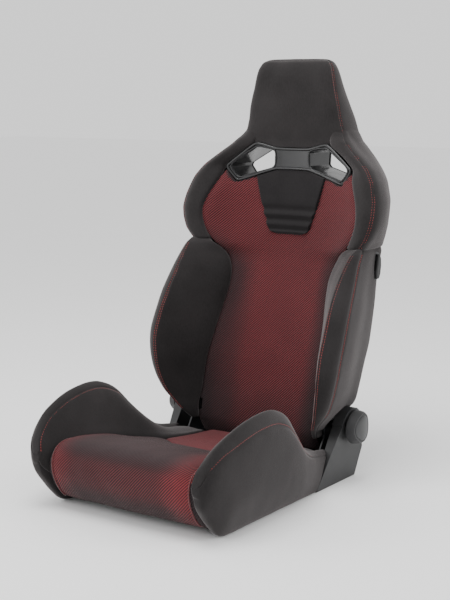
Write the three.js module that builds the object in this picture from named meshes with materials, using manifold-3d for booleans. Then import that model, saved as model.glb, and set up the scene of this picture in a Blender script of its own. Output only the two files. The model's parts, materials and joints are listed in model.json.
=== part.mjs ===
// A reclining bucket seat for a sports car, built as the real one comes apart: a steel base frame with a foam
// cushion, a geared recliner on each side joined by a cross shaft, and a backrest frame with foam pads, a harness
// bezel and a plastic rear shell. Millimetres, +Z up, the occupant faces -Y and the occupant's left is +X.
import * as THREE from "three";
import { mergeVertices } from "three/addons/utils/BufferGeometryUtils.js";
import Module from "manifold-3d";

const wasm = await Module();
wasm.setup();

// ---------------------------------------------------------------- driving dimensions
const GAP = 0.4; // left between two pieces that touch
const HINGE_Y = 200; // recline and fold axis
const HINGE_Z = 120;
const FOLD_ROOM = 44; // radius kept free of foam around the recliners
const BRACKET_SLOT = 66; // radius of the slot in the backrest's foam that passes over the recliner's bracket
const SEAT_ROOM = 62; // radius kept free of the cushion's middle
const TAIL_ROOM = 94; // radius kept free of the cushion bolsters' tails

const MEMBER_INNER_X = 152; // backrest side members; the recliner is stacked outwards from here
const MEMBER_THICKNESS = 4;

const RAIL_INNER_X = MEMBER_INNER_X - 2; // base side rails, C sections open towards the middle
const RAIL_HEIGHT = 60;
const RAIL_WALL = 3;
const RAIL_FRONT_Y = -235;
const RAIL_REAR_Y = 238;
const MOUNT_FRONT_Y = -170; // floor mounting holes in the rails
const MOUNT_PITCH = 290;
const MOUNT_HOLE_RADIUS = 4.5;

const CROSS_TUBE_RADIUS = 12;
const FRONT_TUBE_Y = -205;
const MIDDLE_TUBE_Y = 95;
const REAR_TUBE_Y = 218;
const FRONT_TUBE_Z = 34;
const REAR_TUBE_Z = 24;

const PAN_THICKNESS = 2;
const PAN_REAR_Y = -60;
const WIRE_RADIUS = 2.2; // suspension mats
const FOAM_UNDERSIDE = RAIL_HEIGHT + PAN_THICKNESS + 2;

const ARM_THICKNESS = 4;
const HUB_RADIUS = 36; // round geared recliner
const HUB_HALF = 5.5; // thickness of each half of the recliner
const BRACKET_THICKNESS = 4;
const SHAFT_RADIUS = 7;
const SHAFT_CLEARANCE = 0.6;
const BOLT_RADIUS = 4;
const BOLT_HEAD_RADIUS = 7.5;
const BOLT_HEAD_HEIGHT = 5;

const COVER_INNER_X = 197;
const COVER_OUTER_X = 206; // at the floor; the cover leans outwards from there
const COVER_LEAN = 0.12;
const COVER_WALL = 3;
const COVER_TOP_RADIUS = 42;
const DIAL_RADIUS = 36;
const DIAL_DEPTH = 21;
const DIAL_CAP_DEPTH = 5;

const BACK_TUBE_RADIUS = 8;
const SHELL_WALL = 3.5;
const BEZEL_WALL = 3;

const LEVER_HOUSING_X = 223; // outer face of the fold lever's housing
const LEVER_THICKNESS = 6;
const LEVER_PIVOT_Y = 293;
const LEVER_PIVOT_Z = 444;
const CABLE_RADIUS = 2.5;

// ---------------------------------------------------------------- colours
const paint = (color, roughness, metalness = 0) =>
  new THREE.MeshStandardMaterial({ color, roughness, metalness });
const suede = paint(0x2b292a, 0.95);
const mesh = paint(0x5c2a2c, 0.85);
const plastic = paint(0x232425, 0.5);
const coverPlastic = paint(0x3a3b3c, 0.6);
const steel = paint(0x1b1c1e, 0.45, 0.6);
const zinc = paint(0xa9abae, 0.35, 0.9);
const wire = paint(0x6d7074, 0.4, 0.8);
const rubber = paint(0x161616, 0.8);

// ---------------------------------------------------------------- solids
const toSolid = (geometry) => {
  const bare = geometry.index ? geometry.toNonIndexed() : geometry.clone();
  bare.deleteAttribute("normal");
  bare.deleteAttribute("uv");
  const merged = mergeVertices(bare, 1e-3);
  const solid = new wasm.Manifold(
    new wasm.Mesh({
      numProp: 3,
      vertProperties: merged.attributes.position.array,
      triVerts: new Uint32Array(merged.index.array),
    }),
  );
  return solid;
};

const MERGE = 0.05; // edges shorter than about this are taken out of a finished solid
const toGeometry = (solid) => {
  const made = solid.simplify(MERGE).getMesh();
  const count = made.numVert;
  const points = new Float32Array(count * 3);
  for (let i = 0; i < count; i++) {
    points.set(made.vertProperties.subarray(i * made.numProp, i * made.numProp + 3), i * 3);
  }
  const geometry = new THREE.BufferGeometry();
  geometry.setAttribute("position", new THREE.BufferAttribute(points, 3));
  geometry.setIndex(new THREE.BufferAttribute(made.triVerts, 1));
  return geometry;
};

// The largest piece of a solid, so that a cut never leaves crumbs behind.
const largest = (solid) =>
  solid.decompose().reduce((best, piece) => (piece.volume() > best.volume() ? piece : best));

const cut = (solid, ...tools) => largest(tools.reduce((left, tool) => left.subtract(tool), solid));
const join = (first, ...others) => others.reduce((sum, other) => sum.add(other), first);
const mirrored = (solid) => solid.mirror([1, 0, 0]);
const both = (solid) => [solid, mirrored(solid)];

// Positions on a smooth curve through the points, `steps` per span.
const smooth = (points, steps, closed) => {
  const curve = new THREE.CatmullRomCurve3(
    points.map((p) => new THREE.Vector3(...p)), closed, "centripetal",
  );
  const spans = closed ? points.length : points.length - 1;
  const count = spans * steps + (closed ? 0 : 1);
  return Array.from({ length: count }, (_, i) => curve.getPoint(i / (spans * steps)).toArray());
};

// Pushes each point of a closed outline in the plane of axes a and b outwards by `distance`.
const grown = (ring, distance, a = 0, b = 1) => {
  if (!distance) return ring;
  const area = ring.reduce((sum, p, i) => {
    const q = ring[(i + 1) % ring.length];
    return sum + p[a] * q[b] - q[a] * p[b];
  }, 0);
  const turn = Math.sign(area) * distance;
  return ring.map((p, i) => {
    const before = ring[(i + ring.length - 1) % ring.length];
    const after = ring[(i + 1) % ring.length];
    const along = [after[a] - before[a], after[b] - before[b]];
    const size = Math.hypot(...along) || 1;
    const moved = [...p];
    moved[a] += (turn * along[1]) / size;
    moved[b] -= (turn * along[0]) / size;
    return moved;
  });
};

// Triangles that close a ring, seen along the axis it is flattest in.
const capOf = (ring) => {
  const spread = [0, 1, 2].map((k) => {
    const values = ring.map((p) => p[k]);
    return Math.max(...values) - Math.min(...values);
  });
  const flat = spread.indexOf(Math.min(...spread));
  const [a, b] = [0, 1, 2].filter((k) => k !== flat);
  const contour = ring.map((p) => new THREE.Vector2(p[a], p[b]));
  const turned = THREE.ShapeUtils.isClockWise(contour);
  const faces = THREE.ShapeUtils.triangulateShape(turned ? contour.toReversed() : contour, []);
  if (faces.length !== ring.length - 2) throw new Error(`a ring crosses itself near ${ring[0]}`);
  return faces.map((face) => (turned ? face.map((i) => ring.length - 1 - i).toReversed() : face));
};

// A closed body through a row of closed rings that all have the same number of points.
const skin = (rings) => {
  const around = rings[0].length;
  const index = [];
  for (let r = 0; r + 1 < rings.length; r++) {
    for (let i = 0; i < around; i++) {
      const j = (i + 1) % around;
      const [a, b, c, d] = [r * around + i, r * around + j, (r + 1) * around + i, (r + 1) * around + j];
      index.push(a, b, d, a, d, c);
    }
  }
  // The caps share the rings' own direction round, so one of them is turned over.
  const last = (rings.length - 1) * around;
  const ends = [capOf(rings[0]), capOf(rings.at(-1))];
  const direct = (faces) => {
    const edges = new Set(faces.flatMap(([i, j, k]) => [`${i},${j}`, `${j},${k}`, `${k},${i}`]));
    return edges.has("0,1") || !edges.has("1,0") ? faces : faces.map((face) => face.toReversed());
  };
  direct(ends[0]).forEach(([i, j, k]) => index.push(i, k, j));
  direct(ends[1]).forEach(([i, j, k]) => index.push(last + i, last + j, last + k));
  const geometry = new THREE.BufferGeometry();
  geometry.setAttribute("position", new THREE.Float32BufferAttribute(rings.flat(2), 3));
  geometry.setIndex(index);
  let solid = toSolid(geometry);
  if (solid.volume() < 0) {
    geometry.setIndex(index.reverse());
    solid = toSolid(geometry);
  }
  return solid;
};

// A soft body through stations: each ring is smoothed around, and the rings are smoothed along.
const loft = (rings, around = 2, along = 2) => {
  const rounded = rings.map((ring) => smooth(ring, around, true));
  const columns = rounded[0].map((_, i) => smooth(rounded.map((ring) => ring[i]), along, false));
  return skin(columns[0].map((_, r) => columns.map((column) => column[r])));
};

// A prism along X whose side view is an outline of [y, z] points.
const plate = (outline, x0, x1) => skin([x0, x1].map((x) => outline.map(([y, z]) => [x, y, z])));

const circle = (y, z, radius, count = 24, start = 0) =>
  Array.from({ length: count }, (_, i) => {
    const angle = start + (2 * Math.PI * i) / count;
    return [y + radius * Math.cos(angle), z + radius * Math.sin(angle)];
  });

const arc = (y, z, radius, from, to, count = 8) =>
  Array.from({ length: count + 1 }, (_, i) => {
    const angle = THREE.MathUtils.degToRad(from + ((to - from) * i) / count);
    return [y + radius * Math.cos(angle), z + radius * Math.sin(angle)];
  });

const rod = (y, z, radius, x0, x1, count = 24) => plate(circle(y, z, radius, count), x0, x1);

const box = (x0, x1, y0, y1, z0, z1) => {
  const geometry = new THREE.BoxGeometry(x1 - x0, y1 - y0, z1 - z0);
  geometry.translate((x0 + x1) / 2, (y0 + y1) / 2, (z0 + z1) / 2);
  return toSolid(geometry);
};

const tube = (points, radius, steps, sides = 8) => {
  const section = new THREE.Shape(
    Array.from({ length: sides }, (_, i) => {
      const angle = (2 * Math.PI * i) / sides;
      return new THREE.Vector2(radius * Math.cos(angle), radius * Math.sin(angle));
    }),
  );
  const path = new THREE.CatmullRomCurve3(
    points.map((p) => new THREE.Vector3(...p)), false, "centripetal",
  );
  return toSolid(new THREE.ExtrudeGeometry(section, { steps, extrudePath: path, bevelEnabled: false }));
};

// A straight line through a table of [key, value, ...] rows, for the key asked.
const at = (table, key) => {
  const top = table.findIndex((row) => row[0] >= key);
  if (top < 0) return table.at(-1).slice(1);
  if (top === 0) return table[0].slice(1);
  const [low, high] = [table[top - 1], table[top]];
  const share = (key - low[0]) / (high[0] - low[0]);
  return low.slice(1).map((value, i) => value + share * (high[i + 1] - value));
};

const HUB = [HINGE_Y, HINGE_Z];
const hubRod = (radius, x0, x1, count = 24) => rod(...HUB, radius, x0, x1, count);

// The recliner's stack along X, from the backrest's side member outwards.
const MEMBER_OUTER_X = MEMBER_INNER_X + MEMBER_THICKNESS;
const ARM_X = [MEMBER_OUTER_X + GAP, MEMBER_OUTER_X + GAP + ARM_THICKNESS];
const HUB_IN_X = [ARM_X[1] + GAP, ARM_X[1] + GAP + HUB_HALF];
const HUB_OUT_X = [HUB_IN_X[1] + GAP, HUB_IN_X[1] + GAP + HUB_HALF];
const BRACKET_X = [HUB_OUT_X[1] + GAP, HUB_OUT_X[1] + GAP + BRACKET_THICKNESS];
const RAIL_OUTER_X = BRACKET_X[0] - GAP;
const coverFace = (z) => COVER_OUTER_X + COVER_LEAN * z;

// ---------------------------------------------------------------- side covers' outline
const coverOutline = (inset) => [
  [82 + inset * 1.4, inset],
  [128 + inset, 80],
  [160 + inset, 128],
  ...arc(...HUB, COVER_TOP_RADIUS - inset, 165, 8),
  [262 - inset, 62],
  [243 - inset, inset],
];

// ---------------------------------------------------------------- cushion foam
// Cushion bolster: y, underside, top, outermost x, ridge x, inner seam x and z.
const CUSHION_BOLSTER = [
  [-334, 96, 124, 211, 203, 187, 112],
  [-328, 76, 147, 219, 208, 185, 112],
  [-312, 54, 168, 227, 213, 182, 113],
  [-290, 28, 187, 232, 217, 178, 119],
  [-262, 4, 201, 236, 220, 176, 125],
  [-220, 1, 215, 239, 223, 173, 128],
  [-175, 1, 223, 240, 224, 169, 123],
  [-130, 1, 224, 240, 224, 163, 115],
  [-100, 1, 217, 239, 223, 156, 108],
  [-65, 1, 199, 237, 220, 140, 100],
  [-30, 1, 165, 233, 214, 120, 94],
  [0, 1, 131, 228, 209, 113, 91],
  [30, 1, 107, 221, 205, 111, 88],
  [65, 1, 93, 214, 201, 111, 84],
  [100, 1, 86, 209, 198, 111, 81],
  [130, 1, 81, 207, 196, 111, 78],
];
const BOLSTER_FOOT_X = 204;
const BOLSTER_INNER_X = 187; // the foam's inner wall beside the rails
const cushionBolsterRing = ([y, low, high, outer, ridge, inner, seam], grow = 0) => {
  const height = high - low;
  const under = y > RAIL_FRONT_Y - 20 ? FOAM_UNDERSIDE : low + 0.2 * height;
  const lip = ridge - 15;
  const wall = Math.max(BOLSTER_INNER_X, inner + 4);
  const ring = [
    [BOLSTER_FOOT_X, low],
    [BOLSTER_FOOT_X + 0.78 * (outer - BOLSTER_FOOT_X), low + 0.27 * height],
    [outer, low + 0.58 * height],
    [outer - 2, low + 0.87 * height],
    [ridge, high],
    [lip, high - 0.05 * height],
    [lip - 0.38 * (lip - inner), seam + 0.62 * (high - seam)],
    [lip - 0.8 * (lip - inner), seam + 0.2 * (high - seam)],
    [inner, seam],
    [inner + 1, Math.min(seam - 6, under + 6)],
    [Math.min(inner + 8, wall - 2), under],
    [wall, under - 1],
    [wall + 2, low + 1],
  ];
  return grown(ring, grow).map(([x, z]) => [x, y, z]);
};

// Middle of the cushion: side view at the centre line, the same at every x but for the drop at the sides.
const PAD_HALF_WIDTH = 181;
const insertSeam = (x) => Math.min(-82 + 52 * (x / 98) ** 2, -25);
const padRing = (x) => {
  const share = Math.abs(x) / PAD_HALF_WIDTH;
  const drop = 5 * share ** 2 + 9 * Math.max(0, share - 0.93) / 0.07;
  const back = 0.5 * drop;
  const seam = insertSeam(x);
  return [
    [-268 + back, 14],
    [-298 + back, 36],
    [-317 + back, 72],
    [-321 + back, 104 - drop / 2],
    [-312 + back, 130 - drop],
    [-288, 143 - drop],
    [-240, 144 - drop],
    [-170, 131 - drop],
    [-115, 116 - drop],
    [seam - 12, 103 + 0.1 * (-82 - seam) - drop],
    [seam + 3, 97 + 0.1 * (-82 - seam) - drop],
    [seam + 3, FOAM_UNDERSIDE],
    [-180, FOAM_UNDERSIDE],
    [-242, FOAM_UNDERSIDE],
    [-246, 50],
    [-248, 16],
  ].map(([y, z]) => [x, y, z]);
};
const insertRing = (x) => {
  const seam = insertSeam(x);
  const drop = 5 * (x / PAD_HALF_WIDTH) ** 2;
  const lead = 0.1 * (-82 - seam);
  return [
    [seam - 3, 97 + lead - drop],
    [seam + 12, 98 + lead - drop],
    [-8, 94 - drop],
    [50, 88 - drop],
    [110, 83 - drop],
    [138, 79 - drop],
    [142, 72 - drop],
    [138, FOAM_UNDERSIDE],
    [50, FOAM_UNDERSIDE],
    [seam - 3, FOAM_UNDERSIDE],
  ].map(([y, z]) => [x, y, z]);
};

// ---------------------------------------------------------------- backrest foam
// Torso bolster: z, ridge x and y, outermost x, rear edge x and y, inner seam x and y.
const TORSO_BOLSTER = [
  [98, 160, 141, 167, 168, 158, 153, 150],
  [112, 167, 126, 174, 174, 168, 152, 151],
  [128, 176, 111, 184, 184, 180, 152, 154],
  [147, 186, 100, 199, 196, 207, 151, 160],
  [165, 194, 89, 212, 205, 241, 150, 166],
  [200, 204, 77, 228, 209, 253, 149, 174],
  [245, 211, 71, 239, 212, 266, 147, 185],
  [290, 215, 74, 244, 215, 283, 143, 204],
  [340, 215, 94, 244, 217, 294, 138, 226],
  [390, 212, 121, 241, 217, 303, 131, 245],
  [430, 211, 149, 236, 217, 310, 131, 256],
  [465, 213, 176, 231, 218, 318, 146, 258],
  [488, 215, 198, 228, 219, 325, 168, 240],
  [497, 217, 213, 224, 219, 322, 186, 236],
];
const torsoRing = ([z, ridge, front, outer, back, rear, inner, seam], grow = 0) => {
  const depth = rear - front;
  const hidden = z > 160 ? 184 : Math.max(inner + 4, outer - 12);
  const ring = [
    [ridge, front],
    [outer - 2, front + 0.08 * depth],
    [outer, front + 0.36 * depth],
    [back + 0.5 * (outer - back), front + 0.7 * depth],
    [back, rear],
    [back - 9, rear - 1],
    [back - 15, front + 0.8 * depth],
    [hidden, Math.min(seam + 34, rear - 6)],
    [Math.min(inner + 22, hidden - 2), seam + 12],
    [inner, seam],
    [inner + 0.45 * (ridge - inner), front + 0.5 * (seam - front)],
    [inner + 0.85 * (ridge - inner), front + 0.1 * (seam - front)],
  ];
  return grown(ring, grow).map(([x, y]) => [x, y, z]);
};

// Middle of the backrest: z, half width, y at the side seam, y on the centre line.
const BACK_PAD = [
  [84, 148, 160, 168],
  [100, 151, 153, 168],
  [130, 153, 155, 173],
  [165, 151, 165, 182],
  [200, 149, 173, 192],
  [245, 147, 184, 206],
  [290, 143, 203, 222],
  [340, 138, 225, 240],
  [390, 131, 244, 259],
  [430, 131, 255, 273],
  [460, 143, 258, 282],
  [487, 168, 240, 288],
  [510, 187, 234, 292],
  [535, 199, 232, 297],
  [561, 204, 233, 301],
  [585, 200, 240, 304],
  [608, 189, 250, 306],
  [630, 178, 262, 308],
  [654, 164, 277, 309],
];
const BACK_PAD_THICKNESS = 22;
const backPadFront = (z, x) => {
  const [half, side, middle] = at(BACK_PAD, z);
  return middle - (middle - side) * Math.min(1, Math.abs(x) / half) ** 2.2;
};
const backPadRing = ([z, half], shares = [-1, -0.8, -0.5, 0, 0.5, 0.8, 1]) => [
  ...shares.map((s) => [s * half, backPadFront(z, s * half), z]),
  ...shares.toReversed().map((s) => {
    const x = s * (half - 2);
    return [x, backPadFront(z, x) + BACK_PAD_THICKNESS * (z < 150 ? 0.7 : 1), z];
  }),
];

// Shoulder pad: z, seam x and y, front edge x and y, outermost x and y, rear edge x and y.
const SHOULDER = [
  [499, 183, 236, 207, 222, 227, 258, 219, 328],
  [520, 193, 233, 224, 218, 242, 262, 222, 333],
  [545, 201, 233, 231, 220, 252, 264, 225, 338],
  [570, 203, 235, 235, 223, 256, 268, 226, 341],
  [600, 193, 247, 233, 233, 253, 278, 226, 344],
  [640, 174, 268, 219, 248, 238, 288, 216, 348],
  [665, 169, 281, 201, 260, 219, 298, 200, 354],
  [690, 137, 291, 171, 272, 190, 308, 178, 362],
  [712, 103, 299, 143, 283, 161, 318, 154, 371],
  [722, 98, 302, 134, 288, 150, 323, 142, 374],
];
const shoulderRing = ([z, seamX, seamY, frontX, frontY, outerX, outerY, rearX, rearY]) =>
  [
    [seamX, seamY],
    [(seamX + frontX) / 2, (seamY + frontY) / 2 - 4],
    [frontX, frontY],
    [outerX - 2.5, frontY + 10],
    [outerX, outerY],
    [(outerX + rearX) / 2 + 4, (outerY + rearY) / 2],
    [rearX, rearY],
    [rearX - 10, rearY - 2],
    [Math.max(outerX - 26, seamX + 9), outerY + 18],
    [seamX + 7, seamY + 25],
  ].map(([x, y]) => [x, y, z]);

// Headrest: z, front centre y, front corner x, outermost x and y, rear edge x and y, hollow's front y.
const HEAD = [
  [723, 303, 131, 143, 324, 137, 374, 324],
  [745, 300, 120, 131, 322, 128, 376, 324],
  [770, 298, 113, 124, 320, 121, 375, 324],
  [800, 296, 108, 118, 320, 113, 366, 324],
  [840, 297, 99, 108, 321, 103, 352, 324],
  [868, 299, 93, 101, 323, 97, 346, 326],
  [884, 303, 88, 96, 325, 92, 342, 340],
  [895, 309, 81, 88, 328, 85, 339, 345],
  [900, 317, 72, 78, 329, 75, 335, 341],
];
const headRing = ([z, front, cornerX, outerX, outerY, rearX, rearY, hollowY]) => {
  const half = [
    [0.5 * cornerX, front],
    [cornerX, front + 3],
    [outerX, outerY],
    [rearX, rearY],
    [rearX - 9, Math.max(rearY - 2, hollowY - 2)],
    [0.75 * cornerX, hollowY],
  ];
  const left = half.map(([x, y]) => [-x, y, z]);
  return [[0, front, z], ...half.map(([x, y]) => [x, y, z]), [0, hollowY, z], ...left.toReversed()];
};

// Rear shell: z, half width, y at the side edge, y on the centre line.
const SHELL = [
  [172, 188, 248, 264],
  [230, 196, 263, 294],
  [300, 201, 284, 322],
  [400, 205, 307, 352],
  [500, 208, 333, 374],
  [560, 214, 343, 382],
  [620, 212, 349, 388],
  [660, 196, 356, 392],
  [690, 168, 366, 397],
  [722, 132, 380, 400],
  [770, 112, 381, 400],
  [820, 100, 367, 394],
  [860, 88, 354, 380],
  [876, 80, 350, 372],
];
const shellLine = ([z, half, side, middle], inset, shares) =>
  shares.map((s) => [
    s * half,
    middle - (middle - side) * Math.abs(s) ** 2.4 - inset * (1 - 0.4 * s * s),
    z,
  ]);
const SHELL_SHARES = [-1, -0.85, -0.65, -0.35, 0, 0.35, 0.65, 0.85, 1];
const shellRing = (row) => [
  ...shellLine(row, 0, SHELL_SHARES),
  ...shellLine(row, SHELL_WALL, SHELL_SHARES.toReversed()),
];
const shellRear = (z, x) => {
  const [half, side, middle] = at(SHELL, z);
  return middle - (middle - side) * Math.min(1, Math.abs(x) / half) ** 2.4;
};
// Everything behind the shell's inner face, to trim the foam with.
const behindShellRing = (row) => [
  ...shellLine(row, SHELL_WALL + GAP, SHELL_SHARES),
  [row[1], 460, row[0]],
  [0, 460, row[0]],
  [-row[1], 460, row[0]],
];

// ---------------------------------------------------------------- harness bezel
// Right half of the bezel, from the middle of its lower edge to the middle of its upper edge: x, z.
const BEZEL_HALF = [
  [30, 656], [44, 655], [128, 629], [137, 627], [143, 630], [164, 656], [165, 664], [160, 669],
  [102, 713], [93, 717], [84, 717], [46, 708], [34, 707],
];
const BEZEL_OUTLINE = [...BEZEL_HALF, ...BEZEL_HALF.toReversed().map(([x, z]) => [-x, z])];
const OPENING = [
  [53, 661], [47, 667], [46, 695], [51, 700], [84, 706], [92, 705],
  [149, 667], [152, 660], [141, 643], [133, 639],
];
const bezelFront = (x) => 306 - 0.00087 * x * x;
// A prism along Y whose front view is an outline of [x, z] points.
const frontPrism = (outline, y0, y1, grow = 0) => {
  const wide = grown(outline, grow);
  return skin([y0, y1].map((y) => wide.map(([x, z]) => [x, y, z])));
};
// Everything between two offsets from the bezel's curved front.
const bezelSlab = (y0, y1) => {
  const xs = Array.from({ length: 15 }, (_, i) => -182 + 26 * i);
  const ring = (z) => [
    ...xs.map((x) => [x, bezelFront(x) + y0, z]),
    ...xs.toReversed().map((x) => [x, bezelFront(x) + y1, z]),
  ];
  return skin([ring(600), ring(740)]);
};
const openingPrisms = (grow = 0) => both(frontPrism(OPENING, 240, 470, grow));

const insertOutline = [
  // z, half width, how far the face stands in front of the backrest's foam
  [513, 34, 1], [519, 48, 6], [524, 54, 4], [535, 58, 8], [546, 62, 4], [557, 66, 8],
  [568, 70, 4], [580, 74, 7], [604, 81, 6], [642, 91, 5], [662, 91, 4],
];
const insertSlab = (front, back, wider) =>
  skin(
    insertOutline.map(([z, half, proud]) => {
      const xs = [-1, -0.6, -0.2, 0.2, 0.6, 1].map((s) => s * (half + wider));
      return [
        ...xs.map((x) => [x, backPadFront(z, x) - (front ?? proud) + (Math.abs(x) > half ? 1 : 0), z]),
        ...xs.toReversed().map((x) => [x, backPadFront(z, x) + back, z]),
      ];
    }),
  );

// ---------------------------------------------------------------- foam solids
// Everything in front of the seam between the cushion's two middle pieces, or behind it.
const seamRoom = (shift, far) => {
  const xs = Array.from({ length: 21 }, (_, i) => -190 + 19 * i);
  const outline = [...xs.map((x) => [x, insertSeam(x) + shift]), [190, far], [-190, far]];
  return skin([0, 200].map((z) => outline.map(([x, y]) => [x, y, z])));
};
const coverRoom = () =>
  skin([COVER_INNER_X - 2, 300].map((x) => grown(coverOutline(0), 2).map(([y, z]) => [x, y, z])));
const behindShell = skin(SHELL.map(behindShellRing));
const hubRoom = (radius, x0, x1) => hubRod(radius, x0, x1, 32);

const bolsterRough = loft(CUSHION_BOLSTER.map((row) => cushionBolsterRing(row)), 2, 1);
const bolsterGrown = loft(CUSHION_BOLSTER.map((row) => cushionBolsterRing(row, GAP)), 2, 1);
const cushionBolster = cut(
  bolsterRough,
  box(0, 300, -400, 300, -10, 0),
  coverRoom(),
  hubRoom(TAIL_ROOM, 90, BOLSTER_INNER_X + 3),
);

const padStations = [-1, -0.965, -0.85, -0.6, -0.3, 0, 0.3, 0.6, 0.85, 0.965, 1];
const cushionPad = cut(
  loft(padStations.map((s) => padRing(s * PAD_HALF_WIDTH)), 2, 1),
  ...both(bolsterGrown),
  box(-200, 200, -241, 200, 0, FOAM_UNDERSIDE - 0.8),
  seamRoom(0, 100),
);
const cushionInsert = cut(
  loft([-1, -0.7, -0.35, 0, 0.35, 0.7, 1].map((s) => insertRing(s * 118)), 1, 1),
  ...both(bolsterGrown),
  seamRoom(GAP, -200),
  hubRoom(SEAT_ROOM, -130, 130),
);

const torsoRough = loft(TORSO_BOLSTER.map((row) => torsoRing(row)), 2, 1);
const torsoGrown = loft(TORSO_BOLSTER.map((row) => torsoRing(row, GAP)), 2, 1);
const housingOutline = [
  [286, 428], [301, 428], [309, 440], [310, 474], [305, 486], [293, 489], [286, 481], [282, 448],
];
const housingRoom = plate(grown(housingOutline, GAP), 203, 260);
const torsoBolster = cut(
  torsoRough,
  hubRoom(FOLD_ROOM, MEMBER_INNER_X - 6.3, 260),
  hubRoom(BRACKET_SLOT, BRACKET_X[0] - 0.8, BRACKET_X[1] + 1),
  housingRoom,
  behindShell,
);

const HOOP_SIDE = [
  [142.8, 318, 506], [143.5, 322, 530], [162, 326, 575], [172, 329, 620], [168, 331, 660], [150, 332, 686],
  [127, 334, 706], [106, 336, 732], [92, 340, 765], [80, 341, 806], [66, 340, 842], [36, 340, 862],
];
const hoopOf = (radius) =>
  tube(
    [...HOOP_SIDE.map(([x, y, z]) => [-x, y, z]), [0, 340, 865], ...HOOP_SIDE.toReversed()],
    radius,
    44,
    8,
  );
const hoop = hoopOf(BACK_TUBE_RADIUS);
const hoopRoom = hoopOf(BACK_TUBE_RADIUS + 2);


const shoulderRough = loft(SHOULDER.map(shoulderRing), 2, 1);
const bezelRoom = frontPrism(BEZEL_OUTLINE, 200, 460, GAP);
const tunnelRoom = openingPrisms(BEZEL_WALL + GAP);
const shoulderPad = cut(shoulderRough, torsoGrown, bezelRoom, behindShell, housingRoom, hoopRoom);

const backPad = cut(
  loft(BACK_PAD.map((row) => backPadRing(row)), 1, 1),
  ...both(torsoGrown),
  ...both(shoulderPad.intersect(box(0, 300, 0, 460, 480, 760))),
  bezelRoom,
  insertSlab(14, 4 + GAP, GAP),
  ...both(hubRoom(FOLD_ROOM, MEMBER_INNER_X - 6.3, 260)),
);
const backInsert = cut(insertSlab(null, 4, 0), bezelRoom);

// The headrest's chin, down to the dip in the bezel's upper edge.
const chin = skin(
  [702, 728].map((z) => [[-96, 303], [96, 303], [92, 323], [-92, 323]].map(([x, y]) => [x, y, z])),
);
const headPad = cut(join(loft(HEAD.map(headRing), 2, 1), chin), bezelRoom, behindShell, hoopRoom);

// ---------------------------------------------------------------- bezel and shell solids
const bezel = cut(
  join(
    bezelSlab(0, 5).intersect(frontPrism(BEZEL_OUTLINE, 200, 460)),
    ...openingPrisms(BEZEL_WALL).map((prism) => prism.intersect(bezelSlab(1, 200)).subtract(behindShell)),
  ),
  ...openingPrisms(),
);
const ARM_NOTCH_Z = 268; // top of the notches in the shell that the recliner's arms pass through as it folds
const armNotch = box(ARM_X[0] - 9, ARM_X[1] + 13, 200, 420, 100, ARM_NOTCH_Z);
const shell = cut(skin(SHELL.map(shellRing)), ...openingPrisms(BEZEL_WALL), ...both(armNotch));
const RIM_OUTLINE = grown(BEZEL_OUTLINE, -2);
const rimRing = (row) => [
  ...shellLine(row, -GAP, SHELL_SHARES),
  ...shellLine(row, -GAP - 4, SHELL_SHARES.toReversed()),
];
const shellRim = cut(
  skin(SHELL.filter(([z]) => z >= 620 && z <= 722).map(rimRing)).intersect(frontPrism(RIM_OUTLINE, 300, 470)),
  ...openingPrisms(),
);

// ---------------------------------------------------------------- base frame
const rail = (() => {
  const [x0, x1, t, h] = [RAIL_INNER_X, RAIL_OUTER_X, RAIL_WALL, RAIL_HEIGHT];
  const section = [[x0, 0], [x1, 0], [x1, h], [x0, h], [x0, h - t], [x1 - t, h - t], [x1 - t, t], [x0, t]];
  return skin([RAIL_FRONT_Y, RAIL_REAR_Y].map((y) => section.map(([x, z]) => [x, y, z])));
})();
const upright = (x, y, radius, z0, z1) => {
  const ring = (z) => circle(x, y, radius, 16).map(([a, b]) => [a, b, z]);
  return skin([ring(z0), ring(z1)]);
};
const MOUNT_X = (RAIL_INNER_X + RAIL_OUTER_X - RAIL_WALL) / 2;
const mountHoles = [MOUNT_FRONT_Y, MOUNT_FRONT_Y + MOUNT_PITCH].map((y) =>
  upright(MOUNT_X, y, MOUNT_HOLE_RADIUS, -1, RAIL_WALL + 1),
);

const BRACKET_BOLTS = [[148, 32], [188, 32]];
const boltHoles = BRACKET_BOLTS.map(([y, z]) =>
  rod(y, z, BOLT_RADIUS + GAP, RAIL_OUTER_X - RAIL_WALL - 1, BRACKET_X[1] + 1, 14),
);
const boltSolids = BRACKET_BOLTS.map(([y, z]) =>
  join(
    rod(y, z, BOLT_RADIUS, RAIL_OUTER_X - RAIL_WALL - 6, BRACKET_X[1] + GAP + 1, 14),
    rod(y, z, BOLT_HEAD_RADIUS, BRACKET_X[1] + GAP, BRACKET_X[1] + GAP + BOLT_HEAD_HEIGHT, 6),
  ),
);
const sideRail = cut(rail, ...mountHoles, ...boltHoles);

const frontPan = (() => {
  const z = RAIL_HEIGHT + GAP;
  const [y0, y1] = [RAIL_FRONT_Y - GAP, PAN_REAR_Y];
  const t = PAN_THICKNESS;
  const outline = [[y0 - t, 30], [y0, 30], [y0, z], [y1, z], [y1, z + t], [y0 - t, z + t]];
  return plate(outline, 4 - RAIL_OUTER_X, RAIL_OUTER_X - 4);
})();

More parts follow.
